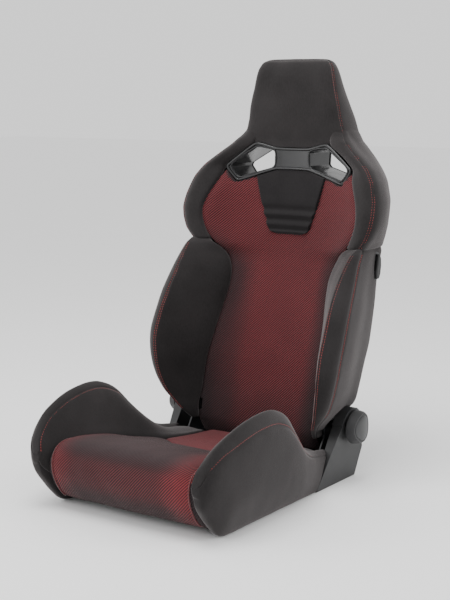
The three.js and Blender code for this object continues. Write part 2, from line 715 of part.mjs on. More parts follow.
const TUBE_HALF = RAIL_OUTER_X - RAIL_WALL - GAP;
const crossTube = (y, z) => rod(y, z, CROSS_TUBE_RADIUS, -TUBE_HALF, TUBE_HALF, 14);
const WIRE_Z = RAIL_HEIGHT - WIRE_RADIUS;
const MIDDLE_TUBE_Z = WIRE_Z - WIRE_RADIUS - GAP - CROSS_TUBE_RADIUS;
const springPath = (count, swing, place) =>
  Array.from({ length: 2 * count + 3 }, (_, i) => {
    const side = i === 0 || i === 2 * count + 2 ? 0 : i % 2 ? 1 : -1;
    return place(i / (2 * count + 2), side * swing);
  });
const cushionSpring = (x) =>
  tube(springPath(4, 20, (s, side) => [x + side, PAN_REAR_Y - 12 + s * 166, WIRE_Z]), WIRE_RADIUS, 34, 5);

const bracket = cut(
  plate([[124, 6], [236, 6], [242, 46], ...arc(...HUB, 40, -35, 205, 16), [138, 62]], ...BRACKET_X),
  hubRod(SHAFT_RADIUS + 4, BRACKET_X[0] - 1, BRACKET_X[1] + 1),
  ...boltHoles,
);
const shaftHole = (x0, x1) => hubRod(SHAFT_RADIUS + SHAFT_CLEARANCE, x0 - 1, x1 + 1, 16);
const disc = ([x0, x1], radius) => cut(hubRod(radius, x0, x1, 28), shaftHole(x0, x1));
const COVER_BOSSES = [[138, 17], [228, 56]];
const sideCover = (() => {
  const face = (inset) => coverOutline(inset).map(([y, z]) => [coverFace(z) - inset, y, z]);
  const base = (inset) => coverOutline(inset).map(([y, z]) => [COVER_INNER_X - inset, y, z]);
  const bosses = COVER_BOSSES.map(([y, z]) =>
    rod(y, z, 6, BRACKET_X[1] + GAP, coverFace(z) - 1.5, 16),
  );
  return cut(
    join(cut(skin([base(0), face(0)]), skin([base(COVER_WALL), face(COVER_WALL)])), ...bosses),
    hubRod(SHAFT_RADIUS + 2, 180, 260, 16),
  );
})();

// ---------------------------------------------------------------- recliner, moving parts
const STRIKER = [233, 231];
const LATCH_PIVOT = [246, 263];
const PIN_RADIUS = 4;
const arm = cut(
  plate([...arc(...HUB, 34, 112, 408, 22), [247, 224], [244, 239], [231, 244], [220, 234]], ...ARM_X),
  shaftHole(...ARM_X),
  rod(...STRIKER, 5 + GAP, ARM_X[0] - 1, ARM_X[1] + 1, 12),
);
const striker = rod(...STRIKER, 5, ARM_X[0] + 0.2, ARM_X[1] + 8, 12);
const latchHook = join(
  plate(
    [
      [240, 272], [253, 271], [257, 262], [255, 248], [249.6, 232.2], [241.9, 235.2], [234, 238],
      [231, 240.5], [229, 246], [236, 254], [236, 266],
    ],
    ARM_X[1] + GAP,
    ARM_X[1] + GAP + 4,
  ),
  rod(...LATCH_PIVOT, PIN_RADIUS, MEMBER_INNER_X - 3, ARM_X[1] + GAP + 6, 12),
);

const dialRing = (x, radius, bulge = 0.06) =>
  Array.from({ length: 27 }, (_, i) => {
    const angle = (2 * Math.PI * i) / 27;
    const r = radius * (1 + bulge * Math.cos(3 * (angle - Math.PI / 3)));
    return [x, HINGE_Y + r * Math.cos(angle), HINGE_Z + r * Math.sin(angle)];
  });
const DIAL_X = coverFace(HINGE_Z + DIAL_RADIUS) + 1;
const DIAL_FACE_X = DIAL_X + DIAL_DEPTH;
const dial = cut(
  skin([
    dialRing(DIAL_X, DIAL_RADIUS - 2, 0.02),
    dialRing(DIAL_X + 3, DIAL_RADIUS + 1, 0.03),
    dialRing(DIAL_FACE_X - 4, DIAL_RADIUS - 2),
    dialRing(DIAL_FACE_X, DIAL_RADIUS - 5, 0.07),
  ]),
  skin([dialRing(DIAL_FACE_X - 3, DIAL_RADIUS - 9, 0.08), dialRing(DIAL_FACE_X + 1, DIAL_RADIUS - 9, 0.08)]),
  hubRod(SHAFT_RADIUS + GAP, DIAL_X - 1, DIAL_X + 16, 16),
);
const dialCap = skin([
  dialRing(DIAL_FACE_X - 3 + GAP, DIAL_RADIUS - 9 - GAP, 0.08),
  dialRing(DIAL_FACE_X + 0.5, DIAL_RADIUS - 9 - GAP, 0.08),
  dialRing(DIAL_FACE_X + 2, DIAL_RADIUS - 13, 0.08),
]);
const shaft = hubRod(SHAFT_RADIUS, -(DIAL_X + 15), DIAL_X + 15, 16);

// ---------------------------------------------------------------- backrest frame
const MEMBER_LINE = [[150, 206], [215, 226], [300, 256], [400, 287], [500, 315], [522, 321]];
const memberY = (z) => at(MEMBER_LINE, z)[0];
const sideMember = (() => {
  const levels = MEMBER_LINE.map(([z]) => z);
  const front = levels.map((z) => [memberY(z) - 18, z]);
  const rear = levels.map((z) => [memberY(z) + 15, z]);
  const ear = arc(...HUB, 30, 140, 400, 16);
  const web = plate([...ear, ...rear, ...front.toReversed()], MEMBER_INNER_X, MEMBER_OUTER_X);
  const flange = skin(
    levels.slice(1).map((z) => {
      const [y0, y1] = [memberY(z) + 12, memberY(z) + 15];
      return [[141, y0, z], [154, y0, z], [154, y1, z], [141, y1, z]];
    }),
  );
  return cut(
    join(web, flange),
    shaftHole(MEMBER_INNER_X, MEMBER_OUTER_X),
    rod(...LATCH_PIVOT, PIN_RADIUS + GAP, MEMBER_INNER_X - 1, MEMBER_OUTER_X + 1, 12),
  );
})();
const LOWER_CROSS = [230, 184, 9];
const lowerCross = rod(...LOWER_CROSS, GAP - MEMBER_INNER_X, MEMBER_INNER_X - GAP, 14);
const backSpring = (z) =>
  tube(
    springPath(5, 14, (s, side) => {
      const x = (2 * s - 1) * (MEMBER_INNER_X - WIRE_RADIUS - 2);
      const level = z + side;
      return [x, backPadFront(level, x) + BACK_PAD_THICKNESS + WIRE_RADIUS + 3, level];
    }),
    WIRE_RADIUS,
    44,
    5,
  );

// ---------------------------------------------------------------- fold levers
const housing = cut(
  plate(housingOutline, 205, LEVER_HOUSING_X),
  plate([[287, 448], [299, 446], [302, 482], [292, 484]], LEVER_HOUSING_X - 7, LEVER_HOUSING_X + 1),
  rod(LEVER_PIVOT_Y, LEVER_PIVOT_Z - 6, PIN_RADIUS + GAP, LEVER_HOUSING_X - 12, LEVER_HOUSING_X + 1, 12),
);
const leverOutline = [
  [288, 430], [298, 430], [304, 440], [307, 457], [306, 474], [301, 483], [295, 483], [293, 470], [287, 444],
];
const lever = join(
  skin([
    leverOutline.map(([y, z]) => [LEVER_HOUSING_X + GAP, y, z]),
    leverOutline.map(([y, z]) => [LEVER_HOUSING_X + GAP + LEVER_THICKNESS - 2, y, z]),
    grown(leverOutline, -2).map(([y, z]) => [LEVER_HOUSING_X + GAP + LEVER_THICKNESS, y, z]),
  ]),
  rod(LEVER_PIVOT_Y, LEVER_PIVOT_Z - 6, PIN_RADIUS, LEVER_HOUSING_X - 11, LEVER_HOUSING_X + 2, 12),
);
const cable = tube(
  [
    [202, 303, 466], [196, 304, 452], [186, 300, 425], [176, 287, 380], [171, 266, 320], [169, 252, 285],
    [169, 247, 276],
  ],
  CABLE_RADIUS,
  20,
  6,
);

// ---------------------------------------------------------------- assembly
const group = new THREE.Group();
group.name = "racing_seat";
const add = (name, solid, material) => {
  const body = new THREE.Mesh(toGeometry(solid), material.clone());
  body.name = name;
  group.add(body);
};
const addPair = (name, solid, material) => {
  add(`${name}_left`, solid, material);
  add(`${name}_right`, mirrored(solid), material);
};

addPair("side_rail", sideRail, steel);
add("front_pan", frontPan, steel);
add("front_cross_tube", crossTube(FRONT_TUBE_Y, FRONT_TUBE_Z), steel);
add("middle_cross_tube", crossTube(MIDDLE_TUBE_Y, MIDDLE_TUBE_Z), steel);
add("rear_cross_tube", crossTube(REAR_TUBE_Y, REAR_TUBE_Z), steel);
[-80, 0, 80].forEach((x, i) => add(`cushion_spring_${i + 1}`, cushionSpring(x), wire));
add("cushion_centre_pad", cushionPad, mesh);
add("cushion_rear_insert", cushionInsert, mesh);
addPair("cushion_bolster", cushionBolster, suede);
addPair("recliner_bracket", bracket, steel);
boltSolids.forEach((bolt, i) => addPair(`bracket_bolt_${i ? "rear" : "front"}`, bolt, zinc));
addPair("recliner_disc_outer", disc(HUB_OUT_X, HUB_RADIUS), zinc);
addPair("side_cover", sideCover, coverPlastic);

addPair("recliner_disc_inner", disc(HUB_IN_X, HUB_RADIUS), zinc);
addPair("recliner_arm", arm, steel);
addPair("latch_striker", striker, zinc);

add("sync_shaft", shaft, zinc);
addPair("dial", dial, coverPlastic);
addPair("dial_cap", dialCap, plastic);

addPair("back_side_member", sideMember, steel);
add("lower_cross_member", lowerCross, steel);
add("upper_frame_tube", hoop, steel);
[335, 420].forEach((z, i) => add(`back_spring_${i + 1}`, backSpring(z), wire));
add("back_shell", shell, plastic);
add("shell_rim", shellRim, plastic);
add("back_centre_pad", backPad, mesh);
add("back_insert", backInsert, suede);
addPair("torso_bolster", torsoBolster, suede);
addPair("shoulder_pad", shoulderPad, suede);
add("head_pad", headPad, suede);
add("harness_bezel", bezel, plastic);
addPair("lever_housing", housing, plastic);
addPair("release_cable", cable, rubber);

addPair("release_lever", lever, coverPlastic);
addPair("latch_hook", latchHook, zinc);

// The part's origin is the middle of its box at floor level.
const extent = new THREE.Box3().setFromObject(group);
const shift = -(extent.min.y + extent.max.y) / 2;
group.children.forEach((child) => child.geometry.translate(0, shift, -extent.min.z));

export default group;
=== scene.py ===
"""Looks of the reclining bucket seat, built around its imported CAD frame.

The tables are in millimetres, counted so that the recline axis lies at y 200 and z 120.
"""

import json
import math

import bmesh
import bpy
import numpy as np
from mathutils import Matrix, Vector, noise


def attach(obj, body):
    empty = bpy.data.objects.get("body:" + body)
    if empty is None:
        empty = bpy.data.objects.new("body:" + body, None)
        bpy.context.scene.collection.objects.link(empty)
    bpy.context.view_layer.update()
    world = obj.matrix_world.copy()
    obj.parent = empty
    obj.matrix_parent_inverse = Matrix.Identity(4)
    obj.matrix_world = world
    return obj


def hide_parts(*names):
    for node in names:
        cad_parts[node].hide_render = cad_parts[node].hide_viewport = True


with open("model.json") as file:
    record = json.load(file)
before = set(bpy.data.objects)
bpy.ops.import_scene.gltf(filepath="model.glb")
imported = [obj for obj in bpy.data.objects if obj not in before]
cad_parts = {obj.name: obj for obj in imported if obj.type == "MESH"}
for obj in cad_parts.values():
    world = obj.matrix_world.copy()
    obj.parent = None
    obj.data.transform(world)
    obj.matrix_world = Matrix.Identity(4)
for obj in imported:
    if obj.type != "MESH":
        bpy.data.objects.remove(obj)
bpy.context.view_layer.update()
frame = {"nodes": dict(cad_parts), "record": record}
NODES = frame["nodes"]
HINGE = Vector(next(j["pos_m"] for j in frame["record"]["behaviour"]["joints"] if j["name"] == "recline"))
TABLE_HINGE_Y = 200.0
SHIFT = HINGE.y * 1000 - TABLE_HINGE_Y
MM = 0.001
FLOOR_GAP = 0.4


# ------------------------------------------------------------------ curves
def to_row(points):
    """Table millimetres to metres in the row frame."""
    return (np.asarray(points, float) + [0, SHIFT, 0]) * MM


def smooth(points, params, closed):
    """Points on a centripetal Catmull-Rom curve, one parameter unit per span."""
    points = np.asarray(points, float)
    if closed:
        ring = np.vstack([points[-1:], points, points[:2]])
    else:
        ring = np.vstack([2 * points[:1] - points[1:2], points, 2 * points[-1:] - points[-2:-1]])
    spans = len(ring) - 3
    out = []
    for value in params:
        span = min(int(value), spans - 1)
        t = value - span
        p0, p1, p2, p3 = ring[span : span + 4]
        d0, d1, d2 = (max(np.linalg.norm(b - a), 1e-6) ** 0.5 for a, b in ((p0, p1), (p1, p2), (p2, p3)))
        m1 = ((p1 - p0) / d0 - (p2 - p0) / (d0 + d1) + (p2 - p1) / d1) * d1
        m2 = ((p2 - p1) / d1 - (p3 - p1) / (d1 + d2) + (p3 - p2) / d2) * d1
        bend = (3 * (p2 - p1) - 2 * m1 - m2) * t**2 + (2 * (p1 - p2) + m1 + m2) * t**3
        out.append(p1 + m1 * t + bend)
    return np.array(out)


def smooth_rows(table, step):
    """A table's rows with smooth ones added between them."""
    return smooth(table, np.arange(0, len(table) - 1 + 1e-6, 1 / step), False)


def at(table, key):
    """The other columns of a table at a key, read off straight lines between its rows."""
    table = np.asarray(table, float)
    return np.array([np.interp(key, table[:, 0], table[:, i]) for i in range(1, table.shape[1])])


def span_params(count, steps, seams, width):
    """Even parameters round a closed ring, with close ones beside each seam."""
    values = {round(float(v), 4) for v in np.arange(0, count, 1 / steps)}
    for seam in seams:
        values = {v for v in values if min(abs(v - seam), abs(v - seam + count)) > 1.7 * width}
        values |= {round((seam + k * width) % count, 4) for k in (-1.3, -0.6, 0, 0.6, 1.3)}
    return sorted(values)


# ------------------------------------------------------------------ mesh making
def solid(name, points, faces, material, body, smooth_angle=None, uv=None, attributes=None):
    """A closed mesh that rides on a body, from points in metres."""
    mesh = bpy.data.meshes.new(name)
    mesh.from_pydata([tuple(map(float, p)) for p in points], [], [tuple(map(int, f)) for f in faces])
    if uv is not None:
        layer = mesh.uv_layers.new(name="cloth")
        loops = np.zeros(len(mesh.loops), int)
        mesh.loops.foreach_get("vertex_index", loops)
        layer.data.foreach_set("uv", np.asarray(uv, np.float32)[loops].ravel())
    for key, values in (attributes or {}).items():
        layer = mesh.attributes.new(key, "FLOAT", "POINT")
        layer.data.foreach_set("value", np.asarray(values, np.float32))
    made = bmesh.new()
    made.from_mesh(mesh)
    bmesh.ops.recalc_face_normals(made, faces=made.faces)
    made.to_mesh(mesh)
    made.free()
    mesh.polygons.foreach_set("use_smooth", [True] * len(mesh.polygons))
    if smooth_angle:
        mesh.set_sharp_from_angle(angle=math.radians(smooth_angle))
    if material:
        mesh.materials.append(material)
    piece = bpy.data.objects.new(name, mesh)
    bpy.context.collection.objects.link(piece)
    if body:
        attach(piece, body)
    return piece


def ring_faces(rows, around):
    """Faces of a tube of rings, with both ends closed by fans to two last points."""
    faces = []
    for r in range(rows - 1):
        for c in range(around):
            d = (c + 1) % around
            faces.append((r * around + c, r * around + d, (r + 1) * around + d, (r + 1) * around + c))
    for c in range(around):
        d = (c + 1) % around
        faces.append((rows * around, d, c))
        faces.append((rows * around + 1, (rows - 1) * around + c, (rows - 1) * around + d))
    return faces


def skin(name, rings, material, body, mirror=False, smooth_angle=30):
    """A plain closed solid through rings of table points."""
    grid = np.array(rings, float)
    rows, around = grid.shape[:2]
    points = to_row(grid.reshape(-1, 3))
    if mirror:
        points[:, 0] *= -1
    faces = ring_faces(rows, around)[: -2 * around]
    faces.append(tuple(reversed(range(around))))
    faces.append(tuple(range((rows - 1) * around, rows * around)))
    return solid(name, points, faces, material, body, smooth_angle)


def prism_x(outline, x0, x1):
    return [[(x, y, z) for y, z in outline] for x in (x0, x1)]


def prism_y(outline, y0, y1):
    return [[(x, y, z) for x, z in outline] for y in (y0, y1)]


def circle(y, z, radius, count=64):
    turn = [2 * math.pi * i / count for i in range(count)]
    return [(y + radius * math.cos(a), z + radius * math.sin(a)) for a in turn]


def grown(outline, gap):
    """An outline of (a, b) points moved outwards by a gap."""
    pts = np.asarray(outline, float)
    area = np.sum(pts[:, 0] * np.roll(pts[:, 1], -1) - np.roll(pts[:, 0], -1) * pts[:, 1])
    ahead = np.roll(pts, -1, axis=0) - pts
    ahead /= np.linalg.norm(ahead, axis=1, keepdims=True)
    out = np.stack([ahead[:, 1], -ahead[:, 0]], axis=1) * (1 if area > 0 else -1)
    corner = out + np.roll(out, 1, axis=0)
    corner /= np.maximum((corner * out).sum(axis=1, keepdims=True), 0.35)
    return pts + corner * gap


def apply_modifiers(piece):
    """The piece's modifiers turned into plain mesh."""
    graph = bpy.context.evaluated_depsgraph_get()
    made = bpy.data.meshes.new_from_object(piece.evaluated_get(graph), depsgraph=graph)
    piece.modifiers.clear()
    piece.data = made
    return piece


def carve(piece, *cutters):
    """The piece without the room that each cutter takes; the cutters are removed."""
    for cutter in cutters:
        cut = piece.modifiers.new("cut", "BOOLEAN")
        cut.operation = "DIFFERENCE"
        cut.solver = "MANIFOLD"
        cut.object = cutter
        bpy.context.view_layer.update()
        apply_modifiers(piece)
    for cutter in cutters:
        bpy.data.objects.remove(cutter)
    piece.data.set_sharp_from_angle(angle=math.radians(50))
    return piece


def sweep(name, line, radius, material, body, sides=8, closed=False, mirror=False):
    """A round cord along table points."""
    line = np.asarray(line, float)
    if closed:
        ahead = np.roll(line, -1, axis=0) - np.roll(line, 1, axis=0)
    else:
        ahead = np.gradient(line, axis=0)
    ahead /= np.maximum(np.linalg.norm(ahead, axis=1, keepdims=True), 1e-9)
    up = np.array([0.31, 0.17, 0.93])
    side = np.cross(ahead, up)
    side /= np.linalg.norm(side, axis=1, keepdims=True)
    top = np.cross(side, ahead)
    turn = np.linspace(0, 2 * math.pi, sides, endpoint=False)
    spread = side[:, None] * np.cos(turn)[None, :, None] + top[:, None] * np.sin(turn)[None, :, None]
    grid = line[:, None] + radius * spread
    rows = len(line)
    points = grid.reshape(-1, 3)
    if closed:
        faces = [
            (r * sides + c, r * sides + (c + 1) % sides, s * sides + (c + 1) % sides, s * sides + c)
            for r in range(rows)
            for s in [(r + 1) % rows]
            for c in range(sides)
        ]
    else:
        points = np.vstack([points, line[:1], line[-1:]])
        faces = ring_faces(rows, sides)
    points = to_row(points)
    if mirror:
        points[:, 0] *= -1
    return solid(name, points, faces, material, body)


# ------------------------------------------------------------------ soft bodies
def ripple(points, size, depth):
    """Soft unevenness of stuffed cloth at each point."""
    height = np.array([noise.noise(Vector(p / size)) for p in points.reshape(-1, 3)])
    return height.reshape(points.shape[:-1]) * depth


class Loft:
    """A stuffed body through closed rings, with sewn grooves along some ring parameters."""

    def __init__(
        self, rings, around=5, along=4, seams=(), groove=1.6, width=0.13, ends=(4, 4), sag=0.9, crisp=0.0,
    ):
        rings = [np.asarray(ring, float) for ring in rings]
        count = len(rings[0])
        self.params = span_params(count, around, seams, width)
        rounded = [smooth(ring, self.params, True) for ring in rings]
        rows = np.arange(0, len(rings) - 1 + 1e-6, 1 / along)
        columns = [smooth([ring[c] for ring in rounded], rows, False) for c in range(len(self.params))]
        grid = np.stack(columns, axis=1)
        if crisp:
            straight = np.array([[ring[c] for c in range(len(self.params))] for ring in rounded])
            keys = np.arange(len(rings))
            flat = straight.reshape(len(rings), -1)
            lines = np.array([np.interp(rows, keys, flat[:, i]) for i in range(flat.shape[1])]).T
            grid = grid + crisp * (lines.reshape(grid.shape) - grid)
        grid = self.with_ends(grid, ends)
        self.base = grid
        self.normal = self.normals(grid)
        lift = ripple(grid, 48.0, sag) + ripple(grid + 300, 17.0, 0.3 * sag)
        run = np.cumsum(np.linalg.norm(np.diff(grid[:, 0], axis=0, prepend=grid[:1, 0]), axis=1))
        for seam in seams:
            for c, value in enumerate(self.params):
                away = min(abs(value - seam), abs(value - seam - count), abs(value - seam + count)) / width
                if away < 1.1:
                    lift[:, c] -= groove * (1 - 0.8 * away)
                elif away < 5:
                    lift[:, c] += 0.35 * sag * np.sin(run * 2 * math.pi / 15 + seam) * (1 - away / 5)
        self.grid = grid + self.normal * lift[..., None]

    @staticmethod
    def with_ends(grid, ends):
        """The grid with two shrinking rows added at each end, so that it closes in a rounded nose."""
        first, last = grid[0], grid[-1]
        out_first = first.mean(axis=0) - grid[1].mean(axis=0)
        out_last = last.mean(axis=0) - grid[-2].mean(axis=0)
        out_first = out_first / np.linalg.norm(out_first) * ends[0]
        out_last = out_last / np.linalg.norm(out_last) * ends[1]

        def toward(row, out, share, reach):
            return row.mean(axis=0) + (row - row.mean(axis=0)) * share + out * reach

        before = [toward(first, out_first, s, r) for s, r in ((0.55, 1.0), (0.88, 0.7))]
        after = [toward(last, out_last, s, r) for s, r in ((0.88, 0.7), (0.55, 1.0))]
        return np.concatenate([before, grid, after])

    @staticmethod
    def normals(grid):
        along = np.gradient(grid, axis=0)
        around = np.roll(grid, -1, axis=1) - np.roll(grid, 1, axis=1)
        normal = np.cross(around, along)
        normal /= np.maximum(np.linalg.norm(normal, axis=2, keepdims=True), 1e-9)
        if (normal * (grid - grid.mean(axis=1, keepdims=True))).sum() < 0:
            normal = -normal
        return normal

    def sculpt(self, change):
        """Moves every point by change(points), an array of offsets in millimetres."""
        flat = self.grid.reshape(-1, 3)
        self.grid = (flat + change(flat)).reshape(self.grid.shape)
        return self

    def line(self, value, aside=0.0, lift=0.6, span=(0.0, 1.0)):
        """The line along the body at a ring parameter, and its outward normals."""
        rows = len(self.grid)
        c = int(np.argmin([abs(v - value) for v in self.params]))
        cut = slice(int(2 + span[0] * (rows - 5)), int(3 + span[1] * (rows - 5)))
        side = np.roll(self.base, -1, axis=1)[:, c] - np.roll(self.base, 1, axis=1)[:, c]
        side /= np.maximum(np.linalg.norm(side, axis=1, keepdims=True), 1e-9)
        line = self.grid[:, c] + side * aside + self.normal[:, c] * lift
        return line[cut], self.normal[cut, c]

    def mesh(self, name, material, body, mirror=False, tone=None):
        """The body as a closed piece, subdivided once; tone(points) says how red each point is, painted
        shade included.
        """
        rows, around = self.grid.shape[:2]
        flat = self.grid.reshape(-1, 3)
        points = np.vstack([flat, self.grid[0].mean(axis=0)[None], self.grid[-1].mean(axis=0)[None]])
        step = np.linalg.norm(np.diff(self.grid, axis=1, prepend=self.grid[:, :1]), axis=2)
        u = np.cumsum(step, axis=1)
        run = np.linalg.norm(np.diff(self.grid, axis=0, prepend=self.grid[:1]), axis=2).mean(axis=1)
        v = np.repeat(np.cumsum(run)[:, None], around, axis=1)
        uv = np.vstack([np.stack([u, v], axis=2).reshape(-1, 2), [[0, 0], [0, 0]]]) * MM
        attributes = {"tone": tone(points)} if tone else None
        points[:, 2] = np.maximum(points[:, 2], FLOOR_GAP)
        placed = to_row(points)
        if mirror:
            placed[:, 0] *= -1
        piece = solid(name, placed, ring_faces(rows, around), material, body, None, uv, attributes)
        finer = piece.modifiers.new("finer", "SUBSURF")
        finer.levels = finer.render_levels = 1
        return apply_modifiers(piece)


STITCH_SIDES = 6
# Rings of a stitch: place as a share of its length, share of its radius, lift in radii
STITCH_RINGS = [(-0.5, 0.35, -0.5), (-0.3, 1, 0), (0.3, 1, 0), (0.5, 0.35, -0.5)]


def stitches(name, lines, material, body, mirror=False, length=4.0, pitch=5.6, radius=0.55):
    """Thread stitches along lines of table points with their normals."""
    points, faces = [], []
    turn = np.linspace(0, 2 * math.pi, STITCH_SIDES, endpoint=False)
    for line, normals in lines:
        run = np.concatenate([[0], np.cumsum(np.linalg.norm(np.diff(line, axis=0), axis=1))])
        for start in np.arange(2.0, run[-1] - length, pitch):
            a, middle, b = (
                np.array([np.interp(s, run, line[:, i]) for i in range(3)])
                for s in (start, start + length / 2, start + length)
            )
            up = np.array([np.interp(start + length / 2, run, normals[:, i]) for i in range(3)])
            ahead = (b - a) / max(np.linalg.norm(b - a), 1e-6)
            side = np.cross(ahead, up)
            side /= max(np.linalg.norm(side), 1e-6)
            first = len(points)
            for share, size, lift in STITCH_RINGS:
                centre = middle + ahead * length * share + up * lift * radius
                points += [centre + size * radius * (side * math.cos(t) + up * math.sin(t)) for t in turn]
            near = first
            for _ in STITCH_RINGS[1:]:
                far = near + STITCH_SIDES
                for c in range(STITCH_SIDES):
                    d = (c + 1) % STITCH_SIDES
                    faces.append((near + c, near + d, far + d, far + c))
                near = far
            faces.append(tuple(first + c for c in reversed(range(STITCH_SIDES))))
            faces.append(tuple(near + c for c in range(STITCH_SIDES)))
    placed = to_row(np.array(points))
    if mirror:
        placed[:, 0] *= -1
    return solid(name, placed, faces, material, body)


# ------------------------------------------------------------------ materials
class Finish:
    """A procedural material being put together."""

    def __init__(self, name, **constants):
        self.material = bpy.data.materials.new(name)
        self.material.use_nodes = True
        self.tree = self.material.node_tree
        self.shader = self.tree.nodes["Principled BSDF"]
        for socket, value in constants.items():
            self.shader.inputs[socket.replace("_", " ")].default_value = value

    def node(self, kind, inputs=(), **settings):
        made = self.tree.nodes.new("ShaderNode" + kind)
        for key, value in settings.items():
            setattr(made, key, value)
        for key, value in dict(inputs).items():
            self.put(made.inputs[key], value)
        return made

    def put(self, socket, value):
        if isinstance(value, bpy.types.NodeSocket):
            self.tree.links.new(value, socket)
        else:
            socket.default_value = value

    def math(self, operation, a, b=0.0, c=0.0):
        return self.node("Math", {0: a, 1: b, 2: c}, operation=operation).outputs[0]

    def place(self, kind="Object"):
        return self.node("TexCoord").outputs[kind]

    def noise(self, scale, detail=3.0, stretch=(1, 1, 1)):
        source = self.node("Mapping", {"Vector": self.place(), "Scale": stretch}).outputs[0]
        made = self.node("TexNoise", {"Vector": source, "Scale": scale, "Detail": detail})
        return made.outputs["Fac"]

    def spread(self, value, low, high, out_low=0.0, out_high=1.0):
        inputs = {"Value": value, "From Min": low, "From Max": high, "To Min": out_low, "To Max": out_high}
        return self.node("MapRange", inputs).outputs[0]

    def mix(self, share, a, b):
        made = self.node("Mix", data_type="RGBA")
        self.put(made.inputs[0], share)
        self.put(made.inputs[6], a)
        self.put(made.inputs[7], b)
        return made.outputs[2]

    def bump(self, height, distance, strength=1.0, base=None):
        inputs = {"Height": height, "Distance": distance, "Strength": strength}
        if base is not None:
            inputs["Normal"] = base
        return self.node("Bump", inputs).outputs[0]

    def colour(self, value):
        self.put(self.shader.inputs["Base Color"], value)
        return self

    def rough(self, value):
        self.put(self.shader.inputs["Roughness"], value)
        return self

    def normal(self, value):
        self.put(self.shader.inputs["Normal"], value)
        return self


def rgb(r, g, b):
    """A colour with full opacity."""
    return (r, g, b, 1.0)


def suede_finish(name, dark, light, sheen):
    """Brushed microfibre: a short nap that catches light at its edges."""
    f = Finish(
        name, Sheen_Weight=sheen, Sheen_Roughness=0.45, Sheen_Tint=rgb(0.75, 0.7, 0.7),
        Specular_IOR_Level=0.15,
    )
    cloud = f.noise(9.0, 4.0)
    nap = f.noise(420.0, 2.0, (1, 1, 0.35))
    blend = f.math("ADD", f.math("MULTIPLY", cloud, 0.7), f.math("MULTIPLY", nap, 0.3))
    brushed = f.spread(blend, 0.35, 0.65)
    f.colour(f.mix(brushed, dark, light))
    f.rough(f.spread(cloud, 0.3, 0.7, 0.82, 0.95))
    grain = f.bump(f.noise(1500.0, 2.0), 0.00025, 0.7)
    return f.normal(f.bump(nap, 0.0003, 0.5, grain)).material


WEAVE_PITCH = 4.4 * MM


def mesh_finish(name):
    """Woven red and black cloth. The tone of the mesh says how much of the red thread shows; where it is
    lowered on the cushion and back panel, it paints shade.
    """
    f = Finish(
        name, Sheen_Weight=0.12, Sheen_Roughness=0.5, Sheen_Tint=rgb(0.8, 0.6, 0.6), Specular_IOR_Level=0.2,
    )
    parts = f.node("SeparateXYZ", {0: f.place("UV")})
    u, v = parts.outputs[0], parts.outputs[1]
    pitch = WEAVE_PITCH * math.sqrt(2)
    wander = f.math("MULTIPLY", f.noise(30.0, 2.0), 0.0016)
    rise = f.math("ADD", u, v)
    fall = f.math("ADD", f.math("SUBTRACT", u, v), wander)
    twill = f.math("SINE", f.math("MULTIPLY", fall, 2 * math.pi / pitch))
    cross = f.math("SINE", f.math("MULTIPLY", rise, 2 * math.pi / (0.5 * pitch)))
    height = f.math("ADD", f.math("MULTIPLY", twill, 0.74), f.math("MULTIPLY", cross, 0.26))
    # The tone attribute holds the red thread's share, with painted shade lowering it on the cushion and
    # back panel
    tone = f.node("Attribute", attribute_name="tone").outputs["Fac"]
    threshold = f.spread(tone, 0.0, 1.0, 0.95, -0.35)
    red_thread = f.spread(f.math("SUBTRACT", height, threshold), -0.3, 0.4)
    fade = f.math("MULTIPLY", red_thread, f.spread(tone, 0.0, 0.6, 0.35, 1.0))
    patch = f.noise(5.0, 3.0)
    red = f.mix(f.spread(patch, 0.3, 0.7), rgb(0.13, 0.0115, 0.015), rgb(0.2, 0.022, 0.027))
    f.colour(f.mix(fade, rgb(0.012, 0.009, 0.01), red))
    f.rough(f.spread(height, -1.0, 1.0, 0.9, 0.62))
    fibre = f.bump(f.noise(1300.0, 2.0), 0.0002, 0.5)
    return f.normal(f.bump(height, 0.0006, 0.7, fibre)).material


def plastic_finish(name, base, roughness, grain_scale, grain_depth, coat=0.0):
    """Moulded plastic with a spark-eroded grain and a painted highlight along its edges."""
    f = Finish(name, Specular_IOR_Level=0.45, Coat_Weight=coat, Coat_Roughness=0.25)
    cloud = f.noise(14.0, 4.0)
    # Painted highlight: convex edges, found by pointiness, are made lighter
    edge = f.node("NewGeometry").outputs["Pointiness"]
    edge_highlight = f.spread(edge, 0.51, 0.56)
    highlight_colour = tuple(1.9 * value for value in base[:3]) + (1.0,)
    shade = f.mix(f.spread(cloud, 0.3, 0.7), base, tuple(1.25 * value for value in base[:3]) + (1.0,))
    f.colour(f.mix(f.math("MULTIPLY", edge_highlight, 0.5), shade, highlight_colour))
    f.rough(f.spread(cloud, 0.25, 0.75, roughness - 0.06, roughness + 0.08))
    cells = f.node("TexVoronoi", {"Vector": f.place(), "Scale": grain_scale}).outputs["Distance"]
    return f.normal(f.bump(cells, grain_depth, 0.5)).material


def metal_finish(name, base, metallic, roughness, streak=(1, 1, 1)):
    """Painted or plated metal with faint streaks and small scuffs."""
    f = Finish(name, Metallic=metallic)
    streaks = f.noise(160.0, 4.0, streak)
    scuffs = f.spread(f.noise(38.0, 6.0), 0.62, 0.72)
    paler = tuple(min(1.0, 1.7 * value + 0.015) for value in base[:3]) + (1.0,)
    shade = f.mix(f.spread(streaks, 0.3, 0.7), base, tuple(1.2 * value for value in base[:3]) + (1.0,))
    f.colour(f.mix(f.math("MULTIPLY", scuffs, 0.5), shade, paler))
    f.rough(f.spread(streaks, 0.25, 0.75, roughness - 0.08, roughness + 0.12))
    return f.normal(f.bump(streaks, 0.00012, 0.4)).material


